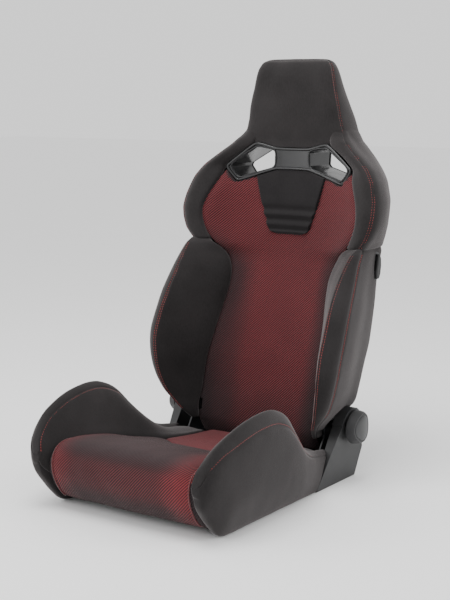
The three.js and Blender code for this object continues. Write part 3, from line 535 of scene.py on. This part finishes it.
def thread_finish(name, base):
    f = Finish(name, Sheen_Weight=0.3, Sheen_Roughness=0.4)
    twist = f.noise(900.0, 2.0)
    darker = tuple(0.5 * value for value in base[:3]) + (1.0,)
    f.colour(f.mix(f.spread(twist, 0.35, 0.65), darker, base))
    return f.rough(f.spread(twist, 0.3, 0.7, 0.6, 0.8)).normal(f.bump(twist, 0.0002, 0.6)).material


SUEDE = suede_finish("suede", rgb(0.011, 0.0098, 0.0099), rgb(0.022, 0.0198, 0.02), 0.3)
CLOTH = suede_finish("black_cloth", rgb(0.009, 0.008, 0.0085), rgb(0.017, 0.0155, 0.016), 0.16)
MESH = mesh_finish("mesh_fabric")
THREAD = thread_finish("red_thread", rgb(0.36, 0.02, 0.018))
PIPING = thread_finish("red_piping", rgb(0.11, 0.008, 0.01))
BLACK_PLASTIC = plastic_finish("black_plastic", rgb(0.0055, 0.0055, 0.006), 0.3, 1500.0, 0.00008, 0.1)
SHELL_PLASTIC = plastic_finish("shell_plastic", rgb(0.014, 0.014, 0.0145), 0.5, 900.0, 0.00014)
GREY_PLASTIC = plastic_finish("grey_plastic", rgb(0.0105, 0.0105, 0.011), 0.48, 1100.0, 0.00012)
FRAME_STEEL = metal_finish("frame_steel", rgb(0.016, 0.0165, 0.018), 0.25, 0.42)
ZINC_STEEL = metal_finish("zinc_steel", rgb(0.07, 0.071, 0.074), 0.8, 0.45)
SPRING_WIRE = metal_finish("spring_wire", rgb(0.2, 0.2, 0.205), 0.9, 0.38, (1, 1, 6))
RUBBER = plastic_finish("cable_rubber", rgb(0.011, 0.011, 0.011), 0.7, 700.0, 0.0001)
SLOT_FINISH = {
    "suede": SUEDE,
    "mesh_fabric": MESH,
    "black_plastic": BLACK_PLASTIC,
    "grey_plastic": GREY_PLASTIC,
    "frame_steel": FRAME_STEEL,
    "zinc_steel": ZINC_STEEL,
    "spring_wire": SPRING_WIRE,
    "cable_rubber": RUBBER,
}


# ------------------------------------------------------------------ cushion bolsters
# y, underside, top, outermost x, ridge x, inner seam x and z
CUSHION_BOLSTER = [
    [-334, 96, 124, 211, 203, 187, 112],
    [-328, 76, 147, 219, 208, 185, 112],
    [-312, 54, 168, 227, 213, 182, 113],
    [-290, 28, 187, 232, 217, 178, 119],
    [-262, 4, 201, 236, 220, 176, 125],
    [-220, 1, 215, 239, 223, 173, 128],
    [-175, 1, 223, 240, 224, 169, 123],
    [-130, 1, 224, 240, 224, 163, 115],
    [-100, 1, 217, 239, 223, 156, 108],
    [-65, 1, 199, 237, 220, 140, 100],
    [-30, 1, 165, 233, 214, 120, 94],
    [0, 1, 131, 228, 209, 113, 91],
    [30, 1, 107, 221, 205, 111, 88],
    [65, 1, 93, 214, 201, 111, 84],
    [100, 1, 86, 209, 198, 111, 81],
    [130, 1, 81, 207, 196, 111, 78],
]
FOAM_UNDERSIDE = 64.0
SEAM_WIDTH = 0.12
BOLSTER_FOOT_X = 204.0
BOLSTER_WALL_X = 187.0
LIP_WIDTH = 15.0


def cushion_bolster_ring(row):
    y, low, high, outer, ridge, inner, seam = row
    height = high - low
    under = FOAM_UNDERSIDE if y > -255 else low + 0.2 * height
    lip = ridge - LIP_WIDTH
    wall = max(BOLSTER_WALL_X, inner + 4)
    ring = [
        (BOLSTER_FOOT_X, low),
        (BOLSTER_FOOT_X + 0.78 * (outer - BOLSTER_FOOT_X), low + 0.27 * height),
        (outer, low + 0.58 * height),
        (outer - 2, low + 0.87 * height),
        (ridge, high),
        (lip, high - 0.05 * height),
        (lip - 0.38 * (lip - inner), seam + 0.62 * (high - seam)),
        (lip - 0.8 * (lip - inner), seam + 0.2 * (high - seam)),
        (inner, seam),
        (inner + 1, min(seam - 6, under + 6)),
        (min(inner + 8, wall - 2), under),
        (wall, under - 1),
        (wall + 2, low + 1),
    ]
    return [(x, y, z) for x, z in ring]


COVER_INNER_X = 197.0
COVER_TOP_RADIUS = 42.0
COVER_GAP = 2.0
BEYOND_SIDE_X = 300.0
TAIL_ROOM = 94.0
TAIL_ROOM_X = 90.0
FOLD_ROOM = 44.0
BRACKET_SLOT = 66.0
BRACKET_SLOT_X = (171.8, 177.6)
HINGE_Z = HINGE.z / MM


def hub_arc(radius, start, stop, count=8):
    turn = [math.radians(start + (stop - start) * i / count) for i in range(count + 1)]
    return [(TABLE_HINGE_Y + radius * math.cos(a), HINGE_Z + radius * math.sin(a)) for a in turn]


COVER_OUTLINE = [
    (82, 0), (128, 80), (160, 128), *hub_arc(COVER_TOP_RADIUS, 165, 8, 24), (262, 62), (243, 0),
]


def cover_cutter(mirror):
    """The side cover's room in a cushion bolster."""
    outline = grown(COVER_OUTLINE, COVER_GAP)
    return skin("cutter", prism_x(outline, COVER_INNER_X - COVER_GAP, BEYOND_SIDE_X), None, None, mirror)


def hub_cutter(radius, x0, x1, mirror):
    """Round room about the recline axis."""
    return skin("cutter", prism_x(circle(TABLE_HINGE_Y, HINGE_Z, radius), x0, x1), None, None, mirror)


for side in ("left", "right"):
    mirror = side == "right"
    rings = [cushion_bolster_ring(row) for row in CUSHION_BOLSTER]
    loft = Loft(rings, seams=(3, 5), ends=(3, 1), width=SEAM_WIDTH)
    piece = loft.mesh(f"cushion_bolster_foam_{side}", SUEDE, None, mirror)
    carve(
        piece,
        cover_cutter(mirror),
        hub_cutter(TAIL_ROOM, TAIL_ROOM_X, BOLSTER_WALL_X + 3, mirror),
    )
    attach(piece, "base")
    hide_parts(f"cushion_bolster_{side}")
    rows = [loft.line(3, 3.0, span=(0, 0.9)), loft.line(5, 3.0, span=(0, 0.9))]
    stitches(f"cushion_bolster_stitching_{side}", rows, THREAD, "base", mirror)


# ------------------------------------------------------------------ cushion middle
PAD_HALF_WIDTH = 181.0
INSERT_HALF_WIDTH = 118.0
TUCK_REACH = 16.0
TUCK_DEPTH = 9.0


def insert_seam(x):
    return min(-82 + 52 * (x / 98) ** 2, -25)


def pad_ring(x):
    share = abs(x) / PAD_HALF_WIDTH
    drop = 5 * share**2 + 9 * max(0, share - 0.93) / 0.07
    back = 0.5 * drop
    seam = insert_seam(x)
    lead = 0.1 * (-82 - seam)
    profile = [
        (-268 + back, 14), (-298 + back, 36), (-317 + back, 72), (-321 + back, 104 - drop / 2),
        (-312 + back, 130 - drop), (-288, 143 - drop), (-240, 144 - drop), (-170, 131 - drop),
        (-115, 116 - drop), (seam - 12, 103 + lead - drop), (seam + 3, 95 + lead - drop),
        (seam + 3, FOAM_UNDERSIDE), (-180, FOAM_UNDERSIDE), (-242, FOAM_UNDERSIDE), (-246, 50), (-248, 16),
    ]
    return [(x, y, z) for y, z in profile]


def insert_ring(x):
    seam = insert_seam(x)
    drop = 5 * (x / PAD_HALF_WIDTH) ** 2
    lead = 0.1 * (-82 - seam)
    profile = [
        (seam - 2, 93 + lead - drop), (seam + 9, 99 + lead - drop), (-8, 94 - drop), (50, 88 - drop),
        (110, 83 - drop), (138, 79 - drop), (142, 72 - drop), (138, FOAM_UNDERSIDE), (50, FOAM_UNDERSIDE),
        (seam - 2, FOAM_UNDERSIDE),
    ]
    return [(x, y, z) for y, z in profile]


def tuck_under_bolsters(points):
    """The cushion's top dips where it is sewn to the bolsters."""
    edge = np.interp(points[:, 1], [row[0] for row in CUSHION_BOLSTER], [row[5] for row in CUSHION_BOLSTER])
    inside = np.clip((edge - np.abs(points[:, 0])) / TUCK_REACH, 0, 1)
    top = np.clip((points[:, 2] - FOAM_UNDERSIDE - 4) / 12, 0, 1) * (points[:, 1] > -300)
    offset = np.zeros_like(points)
    offset[:, 2] = -TUCK_DEPTH * (1 - inside) ** 2 * top
    return offset


def smoothstep(value, low, high):
    t = np.clip((value - low) / (high - low), 0, 1)
    return t * t * (3 - 2 * t)


GUSSET_X = 171.0


def cushion_red_and_shade(points):
    """Painted shade over the red and black weave: red at the cushion's ends and low on its front, black
    along its crown; black beyond the gusset seams.
    """
    x, y, z = points.T
    ends = smoothstep(np.abs(x + 12), 95, 170)
    front = smoothstep(-y, 292, 316) * smoothstep(z, 20, 80)
    # Painted shade: the red fades to black along the crown
    crown_shade = smoothstep(z, 112, 134)
    gusset = 1 - smoothstep(np.abs(x), GUSSET_X - 1, GUSSET_X + 1)
    return np.clip(0.12 + 0.5 * ends + 0.34 * front * (1 - 0.7 * crown_shade), 0, 1) * gusset


pad_stations = [-1, -0.965, -0.85, -0.6, -0.3, 0, 0.3, 0.6, 0.85, 0.965, 1]
pad = Loft([pad_ring(s * PAD_HALF_WIDTH) for s in pad_stations], around=4, along=7, ends=(3, 3), sag=1.4)
pad.sculpt(tuck_under_bolsters)
pad_piece = pad.mesh("cushion_centre_foam", MESH, "base", tone=cushion_red_and_shade)
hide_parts("cushion_centre_pad")
front_columns = [c for c, value in enumerate(pad.params) if 0.3 < value < 8.5]
for side, sign in (("left", 1), ("right", -1)):
    row = int(np.argmin(np.abs(pad.grid[:, 0, 0] - sign * GUSSET_X)))
    edge = pad.grid[row, front_columns] + pad.normal[row, front_columns] * 0.8
    edge = smooth(edge, np.arange(0, len(edge) - 1, 0.25), False)
    sweep(f"cushion_piping_{side}", edge, 1.7, PIPING, "base")

insert = Loft(
    [insert_ring(s * INSERT_HALF_WIDTH) for s in (-1, -0.7, -0.35, 0, 0.35, 0.7, 1)],
    around=5, along=7, ends=(1, 1), sag=0.8,
)
insert.sculpt(tuck_under_bolsters)
insert_piece = insert.mesh("cushion_insert_foam", MESH, "base", tone=lambda p: np.full(len(p), 0.78))
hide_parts("cushion_rear_insert")


# ------------------------------------------------------------------ torso bolsters
# z, ridge x and y, outermost x, rear edge x and y, inner seam x and y
TORSO_BOLSTER = [
    [98, 160, 141, 167, 168, 158, 153, 150],
    [112, 167, 126, 174, 174, 168, 152, 151],
    [128, 176, 111, 184, 184, 180, 152, 154],
    [147, 186, 100, 199, 196, 207, 151, 160],
    [165, 194, 89, 212, 205, 241, 150, 166],
    [200, 204, 77, 228, 209, 253, 149, 174],
    [245, 211, 71, 239, 212, 266, 147, 185],
    [290, 215, 74, 244, 215, 283, 143, 204],
    [340, 215, 94, 244, 217, 294, 138, 226],
    [390, 212, 121, 241, 217, 303, 131, 245],
    [430, 211, 149, 236, 217, 310, 131, 256],
    [465, 213, 176, 231, 218, 318, 146, 258],
    [488, 215, 198, 228, 219, 325, 168, 240],
    [497, 217, 213, 224, 219, 322, 186, 236],
]
MEMBER_INNER_X = 152.0
FOLD_ROOM_X = (MEMBER_INNER_X - 6.3, 260.0)


def torso_ring(row):
    z, ridge, front, outer, back, rear, inner, seam = row
    depth = rear - front
    hidden = 184 if z > 160 else max(inner + 4, outer - 12)
    ring = [
        (ridge, front),
        (outer - 2, front + 0.08 * depth),
        (outer, front + 0.36 * depth),
        (back + 0.5 * (outer - back), front + 0.7 * depth),
        (back, rear),
        (back - 9, rear - 1),
        (back - 15, front + 0.8 * depth),
        (hidden, min(seam + 34, rear - 6)),
        (min(inner + 22, hidden - 2), seam + 12),
        (inner, seam),
        (inner + 0.45 * (ridge - inner), front + 0.5 * (seam - front)),
        (inner + 0.85 * (ridge - inner), front + 0.1 * (seam - front)),
    ]
    return [(x, y, z) for x, y in ring]


# Rear shell: z, half width, y at the side edge, y on the centre line
SHELL = [
    [172, 188, 248, 264], [230, 196, 263, 294], [300, 201, 284, 322], [400, 205, 307, 352],
    [500, 208, 333, 374], [560, 214, 343, 382], [620, 212, 349, 388], [660, 196, 356, 392],
    [690, 168, 366, 397], [722, 132, 380, 400], [770, 112, 381, 400], [820, 100, 367, 394],
    [860, 88, 354, 380], [876, 80, 350, 372],
]
SHELL_WALL = 3.5
SHELL_GAP = 0.4
SHELL_BOW = 2.4
BEHIND_SEAT_Y = 460.0
SHELL_SHARES = np.linspace(-1, 1, 41)


def shell_line(row, inset, shares):
    z, half, side, middle = row
    return [
        (s * half, middle - (middle - side) * abs(s) ** SHELL_BOW - inset * (1 - 0.4 * s * s), z)
        for s in shares
    ]


def behind_shell():
    """Everything from the shell's inner face rearwards."""
    rings = []
    for row in smooth_rows(SHELL, 3):
        z, half = row[:2]
        inner = shell_line(row, SHELL_WALL + SHELL_GAP, SHELL_SHARES)
        rings.append(inner + [(half, BEHIND_SEAT_Y, z), (-half, BEHIND_SEAT_Y, z)])
    return skin("cutter", rings, None, None)


TORSO_CREASE = 1.35
HOUSING_OUTLINE = [
    (286, 428), (301, 428), (309, 440), (310, 474), (305, 486), (293, 489), (286, 481), (282, 448),
]


HOUSING_GAP = 0.4
HOUSING_X = (203.0, 260.0)


def housing_cutter(mirror):
    """The lever housing's room in the padding."""
    return skin("cutter", prism_x(grown(HOUSING_OUTLINE, HOUSING_GAP), *HOUSING_X), None, None, mirror)


for side in ("left", "right"):
    mirror = side == "right"
    rings = [torso_ring(row) for row in TORSO_BOLSTER]
    loft = Loft(rings, seams=(0, TORSO_CREASE), ends=(1, 5), width=SEAM_WIDTH)
    piece = loft.mesh(f"torso_bolster_foam_{side}", SUEDE, None, mirror)
    carve(
        piece,
        hub_cutter(FOLD_ROOM, *FOLD_ROOM_X, mirror),
        hub_cutter(BRACKET_SLOT, *BRACKET_SLOT_X, mirror),
        housing_cutter(mirror),
        behind_shell(),
    )
    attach(piece, "backrest")
    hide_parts(f"torso_bolster_{side}")
    rows = [
        loft.line(0, -2.4, span=(0.12, 0.97)),
        loft.line(0, 2.4, span=(0.12, 0.97)),
        loft.line(TORSO_CREASE, 2.6, span=(0.25, 0.98)),
    ]
    stitches(f"torso_bolster_stitching_{side}", rows, THREAD, "backrest", mirror)


# ------------------------------------------------------------------ backrest middle
# z, half width, y at the side seam, y on the centre line
BACK_PAD = [
    [84, 148, 160, 168], [100, 151, 153, 168], [130, 153, 155, 173], [165, 151, 165, 182],
    [200, 149, 173, 192], [245, 147, 184, 206], [290, 143, 203, 222], [340, 138, 225, 240],
    [390, 131, 244, 259], [430, 131, 255, 273], [460, 143, 258, 282], [487, 168, 240, 288],
    [510, 187, 234, 292], [535, 199, 232, 297], [561, 204, 233, 301], [585, 200, 240, 304],
    [608, 189, 250, 306], [630, 178, 262, 308], [654, 164, 277, 309],
]
BACK_PAD_THICKNESS = 22.0
BACK_PAD_BOW = 2.2
SHARES = np.concatenate([[-1, -0.985, -0.95, -0.9], np.linspace(-0.84, 0.84, 29), [0.9, 0.95, 0.985, 1]])


def back_pad_front(z, x):
    half, side, middle = at(BACK_PAD, z)
    return middle - (middle - side) * min(1, abs(x) / half) ** BACK_PAD_BOW


# How far the panel's sides reach under the torso bolsters, and its rows below the table
SIDE_TUCK = 7.0
BACK_TAIL = [[64, 146, 172, 176], [72, 147, 166, 171]]


def back_pad_rings():
    rings = []
    for z, half, side, middle in smooth_rows(BACK_TAIL + BACK_PAD, 5):
        half += SIDE_TUCK * float(smoothstep(490 - z, 0, 30))
        thick = BACK_PAD_THICKNESS * (0.7 if z < 150 else 1)
        front = []
        for s in SHARES:
            bow = (middle - side) * abs(s) ** BACK_PAD_BOW
            edge = 7 * max(0, abs(s) - 0.9) ** 2 * 100
            front.append((s * half, middle - bow + edge, z))
        rear = [(x * 0.985, y + thick * (1 if abs(x) < 0.95 * half else 0.6), z) for x, y, z in front[::-1]]
        rings.append(front + rear)
    return rings


def back_red_and_shade(points):
    """Red over the whole panel, with painted shade darkening its flanks, its lower part and an upright band
    at x -95.
    """
    x, y, z = points.T
    half = np.interp(z, [row[0] for row in BACK_PAD], [row[1] for row in BACK_PAD])
    share = np.abs(x) / half
    # Painted shade: the flanks, the lower part and an upright band are made darker
    flank_shade = smoothstep(share, 0.62, 1.0) * smoothstep(560 - z, 0, 120)
    low = smoothstep(230 - z, 0, 110)
    column_shade = np.exp(-((np.abs(x + 95) / 28) ** 2)) * smoothstep(500 - z, -20, 90)
    return np.clip(0.66 - 0.42 * flank_shade - 0.2 * low - 0.22 * column_shade, 0.05, 1)


def grid_piece(name, rings, material, body, tone=None, sag=0.8):
    """A closed piece straight through dense rings, with cloth coordinates from x and its run."""
    grid = np.array(rings, float)
    grid[..., 1] += ripple(grid, 52.0, sag) + ripple(grid + 500, 19.0, 0.3 * sag)
    flat = grid.reshape(-1, 3)
    points = np.vstack([flat, grid[0].mean(axis=0)[None], grid[-1].mean(axis=0)[None]])
    run = np.cumsum(np.linalg.norm(np.diff(grid, axis=0, prepend=grid[:1]), axis=2).mean(axis=1))
    v = np.repeat(run[:, None], grid.shape[1], axis=1)
    uv = np.vstack([np.stack([grid[..., 0], v], axis=2).reshape(-1, 2), [[0, 0], [0, 0]]]) * MM
    attributes = {"tone": tone(points)} if tone else None
    faces = ring_faces(*grid.shape[:2])
    return solid(name, to_row(points), faces, material, body, None, uv, attributes)


BEZEL_HALF = [
    (30, 656), (44, 655), (128, 629), (137, 627), (143, 630), (164, 656), (165, 664), (160, 669),
    (102, 713), (93, 717), (84, 717), (46, 708), (34, 707),
]
BEZEL_OUTLINE = BEZEL_HALF + [(-x, z) for x, z in BEZEL_HALF[::-1]]
BEZEL_WALL = 3.0
OPENING = [
    (53, 661), (47, 667), (46, 695), (51, 700), (84, 706), (92, 705), (149, 667), (152, 660), (141, 643),
    (133, 639),
]


BEZEL_GAP = 0.2


def bezel_cutter():
    """The bezel's room, right through the padding."""
    return skin("cutter", prism_y(grown(BEZEL_OUTLINE, BEZEL_GAP), 200, BEHIND_SEAT_Y), None, None)


back_piece = grid_piece("back_centre_foam", back_pad_rings(), MESH, None, back_red_and_shade)
carve(
    back_piece,
    bezel_cutter(),
    hub_cutter(FOLD_ROOM, *FOLD_ROOM_X, False),
    hub_cutter(FOLD_ROOM, *FOLD_ROOM_X, True),
)
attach(back_piece, "backrest")
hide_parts("back_centre_pad")

# Pleated black insert: z, half width, how far it stands in front of the panel
INSERT = [
    [511, 20, -4], [514, 34, 2], [519, 48, 6], [524, 54, 2.5], [535, 58, 8.5], [546, 62, 2.5],
    [557, 66, 8.5], [568, 70, 2.5], [580, 74, 7], [604, 81, 6.5], [642, 91, 5], [662, 91, 4],
]
EDGE_START = 0.96
INSERT_SINK = 4
INSERT_SHARES = np.concatenate([[-1, -0.985, -0.97], np.linspace(-0.96, 0.96, 31), [0.97, 0.985, 1]])
insert_rings = []
for z, half, proud in smooth_rows(INSERT, 6):
    edge = [(max(0, abs(s) - EDGE_START) / (1 - EDGE_START)) ** 2 for s in INSERT_SHARES]
    front = [
        (s * half, back_pad_front(z, s * half) - proud + (proud + INSERT_SINK) * e, z)
        for s, e in zip(INSERT_SHARES, edge)
    ]
    rear = [(x, back_pad_front(z, x) + INSERT_SINK + 1, z) for x, _, z in front[::-1]]
    insert_rings.append(front + rear)
insert_back = grid_piece("back_insert_foam", insert_rings, CLOTH, None, sag=0.4)
carve(insert_back, bezel_cutter())
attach(insert_back, "backrest")
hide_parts("back_insert")


# ------------------------------------------------------------------ shoulders and head
# z, seam x and y, front edge x and y, outermost x and y, rear edge x and y
SHOULDER = [
    [499, 183, 236, 207, 222, 227, 258, 219, 328], [520, 193, 233, 224, 218, 242, 262, 222, 333],
    [545, 201, 233, 231, 220, 252, 264, 225, 338], [570, 203, 235, 235, 223, 256, 268, 226, 341],
    [600, 193, 247, 233, 233, 253, 278, 226, 344], [640, 174, 268, 219, 248, 238, 288, 216, 348],
    [665, 169, 281, 201, 260, 219, 298, 200, 354], [690, 137, 291, 171, 272, 190, 308, 178, 362],
    [712, 103, 299, 143, 283, 161, 318, 154, 371], [722, 98, 302, 134, 288, 150, 323, 142, 374],
    [735, 97, 305, 123, 299, 138, 323, 134, 375], [752, 95, 308, 115, 306, 127, 323, 123, 374],
    [775, 93, 310, 108, 306, 116, 323, 114, 370],
]


SHOULDER_SEAM = 2.6
TWIN_ASIDE = 2.6


def shoulder_ring(row):
    z, seam_x, seam_y, front_x, front_y, outer_x, outer_y, rear_x, rear_y = row
    ring = [
        (seam_x, seam_y),
        ((seam_x + front_x) / 2, (seam_y + front_y) / 2 - 4),
        (front_x, front_y),
        (outer_x - 2.5, front_y + 10),
        (outer_x, outer_y),
        ((outer_x + rear_x) / 2 + 4, (outer_y + rear_y) / 2),
        (rear_x, rear_y),
        (rear_x - 10, rear_y - 2),
        (max(outer_x - 26, seam_x + 9), outer_y + 18),
        (seam_x + 7, seam_y + 25),
    ]
    return [(x, y, z) for x, y in ring]


for side in ("left", "right"):
    mirror = side == "right"
    rings = [shoulder_ring(row) for row in SHOULDER]
    loft = Loft(rings, seams=(SHOULDER_SEAM,), ends=(5, 1), width=SEAM_WIDTH, crisp=0.6)
    piece = loft.mesh(f"shoulder_foam_{side}", SUEDE, None, mirror)
    carve(piece, bezel_cutter(), housing_cutter(mirror), behind_shell())
    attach(piece, "backrest")
    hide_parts(f"shoulder_pad_{side}")
    rows = [loft.line(SHOULDER_SEAM, aside, span=(0.02, 1)) for aside in (-TWIN_ASIDE, TWIN_ASIDE)]
    stitches(f"shoulder_stitching_{side}", rows, THREAD, "backrest", mirror)

# z, front centre y, front corner x, outermost x and y, rear edge x and y, hollow's front y
HEAD = [
    [723, 303, 131, 143, 324, 137, 374, 324], [745, 300, 120, 131, 322, 128, 376, 324],
    [770, 298, 113, 124, 320, 121, 375, 324], [800, 296, 108, 118, 320, 113, 366, 324],
    [840, 297, 99, 108, 321, 103, 352, 324], [868, 299, 93, 101, 323, 97, 346, 326],
    [884, 303, 88, 96, 325, 92, 342, 340], [895, 309, 81, 88, 328, 85, 339, 345],
    [900, 317, 72, 78, 329, 75, 335, 341],
]


def head_ring(row):
    z, front, corner_x, outer_x, outer_y, rear_x, rear_y, hollow_y = row
    half = [
        (0.5 * corner_x, front), (corner_x, front + 3), (outer_x, outer_y), (rear_x, rear_y),
        (rear_x - 9, max(rear_y - 2, hollow_y - 2)), (0.75 * corner_x, hollow_y),
    ]
    ring = [(0, front)] + half + [(0, hollow_y)] + [(-x, y) for x, y in half[::-1]]
    return [(x, y, z) for x, y in ring]


HEAD_SEAMS = (2.5, 11.5)
# The head's foot, hidden between the shoulders
HEAD_FOOT = [[702, 303, 128, 140, 322, 134, 350, 324], [712, 303, 130, 142, 323, 136, 368, 324]]
head_table = HEAD_FOOT + HEAD
head = Loft([head_ring(row) for row in head_table], seams=HEAD_SEAMS, ends=(0.5, 2.5), width=SEAM_WIDTH)
head_piece = head.mesh("head_foam", SUEDE, None)
carve(head_piece, bezel_cutter(), behind_shell())
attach(head_piece, "backrest")
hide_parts("head_pad")
rows = [
    head.line(seam, aside, span=(0.16, 0.93)) for seam in HEAD_SEAMS for aside in (-TWIN_ASIDE, TWIN_ASIDE)
]
stitches("head_stitching", rows, THREAD, "backrest")


# ------------------------------------------------------------------ bezel rims and seat's rear panel
BEZEL_FRONT_Y = 306.0
BEZEL_BOW = 0.00087
RIM_INSET = 3.6
RIM_RADIUS = 3.4
OPENING_RIM_RADIUS = 2.0


def rim(name, outline, radius, forward):
    """A rounded bead round an outline of (x, z), on the bezel's curved front."""
    corners = np.array([(x, 0.0, z) for x, z in outline])
    ring = smooth(corners, np.arange(0, len(corners), 0.125), True)
    ring[:, 1] = BEZEL_FRONT_Y - BEZEL_BOW * ring[:, 0] ** 2 - forward
    sweep(name, ring, radius, BLACK_PLASTIC, "backrest", sides=12, closed=True)


rim("bezel_rim", grown(BEZEL_OUTLINE, -RIM_INSET), RIM_RADIUS, 0.2)
for side, sign in (("left", 1), ("right", -1)):
    rim(f"opening_rim_{side}", grown([(sign * x, z) for x, z in OPENING], 1.6), OPENING_RIM_RADIUS, 0.4)

# Black cloth stretched from the cushion's rear edge under the recline axis and up behind it: y, z
REAR_PANEL = [(136, 72), (168, 52), (206, 41), (230, 44), (239, 70), (240, 104)]
REAR_PANEL_HALF = 195.0
REAR_PANEL_SAG = 2
rear_rows = []
for y, z in smooth_rows(REAR_PANEL, 5):
    across = np.linspace(-1, 1, 41) * REAR_PANEL_HALF
    top = [(x, y, z - REAR_PANEL_SAG * (1 - (x / REAR_PANEL_HALF) ** 2)) for x in across]
    rear_rows.append(top + [(x, y + 1.2, z - 1.8) for x, y, z in top[::-1]])
grid_piece("seat_rear_panel", rear_rows, CLOTH, "base", sag=0.5)


# ------------------------------------------------------------------ rear shell
ARM_NOTCH = [(200, 100), (420, 100), (420, 268), (200, 268)]
ARM_NOTCH_X = (147.4, 173.4)
OPENING_Y = (240.0, 470.0)
opening_room = prism_y(grown(OPENING, BEZEL_WALL), *OPENING_Y)
arm_room = prism_x(ARM_NOTCH, *ARM_NOTCH_X)
shell_rings = [
    shell_line(row, 0, SHELL_SHARES) + shell_line(row, SHELL_WALL, SHELL_SHARES[::-1])
    for row in smooth_rows(SHELL, 6)
]
shell_piece = skin("back_shell_skin", shell_rings, SHELL_PLASTIC, None, smooth_angle=40)
carve(
    shell_piece,
    *(skin("cutter", opening_room, None, None, mirror) for mirror in (False, True)),
    *(skin("cutter", arm_room, None, None, mirror) for mirror in (False, True)),
)
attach(shell_piece, "backrest")
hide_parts("back_shell")


# ------------------------------------------------------------------ carried-over hardware
BEZEL_EDGE = 1.8 * MM
HARDWARE_EDGE = 0.6 * MM
SLOT_OF = {part["node"]: part["material_slot"] for part in frame["record"]["subparts"]}
for name, node in NODES.items():
    if node.hide_render:
        continue
    node.data.materials.clear()
    node.data.materials.append(SLOT_FINISH[SLOT_OF[name]])
    if "custom_normal" in node.data.attributes:
        node.data.attributes.remove(node.data.attributes["custom_normal"])
    node.data.polygons.foreach_set("use_smooth", [True] * len(node.data.polygons))
    weld = node.modifiers.new("weld", "WELD")
    weld.merge_threshold = 1e-5
    edges = node.modifiers.new("edges", "BEVEL")
    edges.width = BEZEL_EDGE if name == "harness_bezel" else HARDWARE_EDGE
    edges.segments = 2
    edges.limit_method = "ANGLE"
    edges.angle_limit = math.radians(32)
    edges.harden_normals = True


# ------------------------------------------------------------------ floor, light and camera
def stage_plane(name, size, z):
    s = size / 2
    mesh = bpy.data.meshes.new(name)
    mesh.from_pydata([(-s, -s, z), (s, -s, z), (s, s, z), (-s, s, z)], [], [(0, 1, 2, 3)])
    floor = Finish("pale_floor", Roughness=0.9)
    floor.colour(floor.mix(floor.noise(3.0), rgb(0.93, 0.93, 0.93), rgb(0.95, 0.95, 0.95)))
    mesh.materials.append(floor.material)
    piece = bpy.data.objects.new(name, mesh)
    bpy.context.collection.objects.link(piece)


FLOOR_SIZE = 30.0
FLOOR_Z = -0.6 * MM
stage_plane("floor", FLOOR_SIZE, FLOOR_Z)

world = bpy.data.worlds.new("studio")
bpy.context.scene.world = world
world.use_nodes = True
backdrop = world.node_tree.nodes["Background"]
backdrop.inputs["Color"].default_value = rgb(1.0, 1.0, 1.0)
backdrop.inputs["Strength"].default_value = 1.2


def soft_light(name, place, target, size, power):
    data = bpy.data.lights.new(name, "AREA")
    data.shape = "RECTANGLE"
    data.size, data.size_y = size
    data.energy = power
    lamp = bpy.data.objects.new(name, data)
    lamp.location = place
    lamp.rotation_euler = (Vector(target) - Vector(place)).to_track_quat("-Z", "Y").to_euler()
    bpy.context.collection.objects.link(lamp)


soft_light("overhead", (0.0, -0.5, 2.3), (0, 0.1, 0.4), (1.2, 1.2), 34)
soft_light("front_left", (-1.8, -1.9, 1.3), (0, 0, 0.4), (1.0, 1.6), 22)
soft_light("right_edge", (2.1, 0.6, 1.1), (0, 0.1, 0.5), (0.5, 1.6), 14)

CAMERA_PLACE = (1.55609, -2.21441, 0.83544)
CAMERA_TILT = 80.795
CAMERA_TURN = 35.01
camera_data = bpy.data.cameras.new("camera")
camera_data.lens = 78.0
camera_data.sensor_width = 36.0
camera = bpy.data.objects.new("camera", camera_data)
camera.location = CAMERA_PLACE
camera.rotation_euler = (math.radians(CAMERA_TILT), 0, math.radians(CAMERA_TURN))
bpy.context.collection.objects.link(camera)
bpy.context.scene.camera = camera
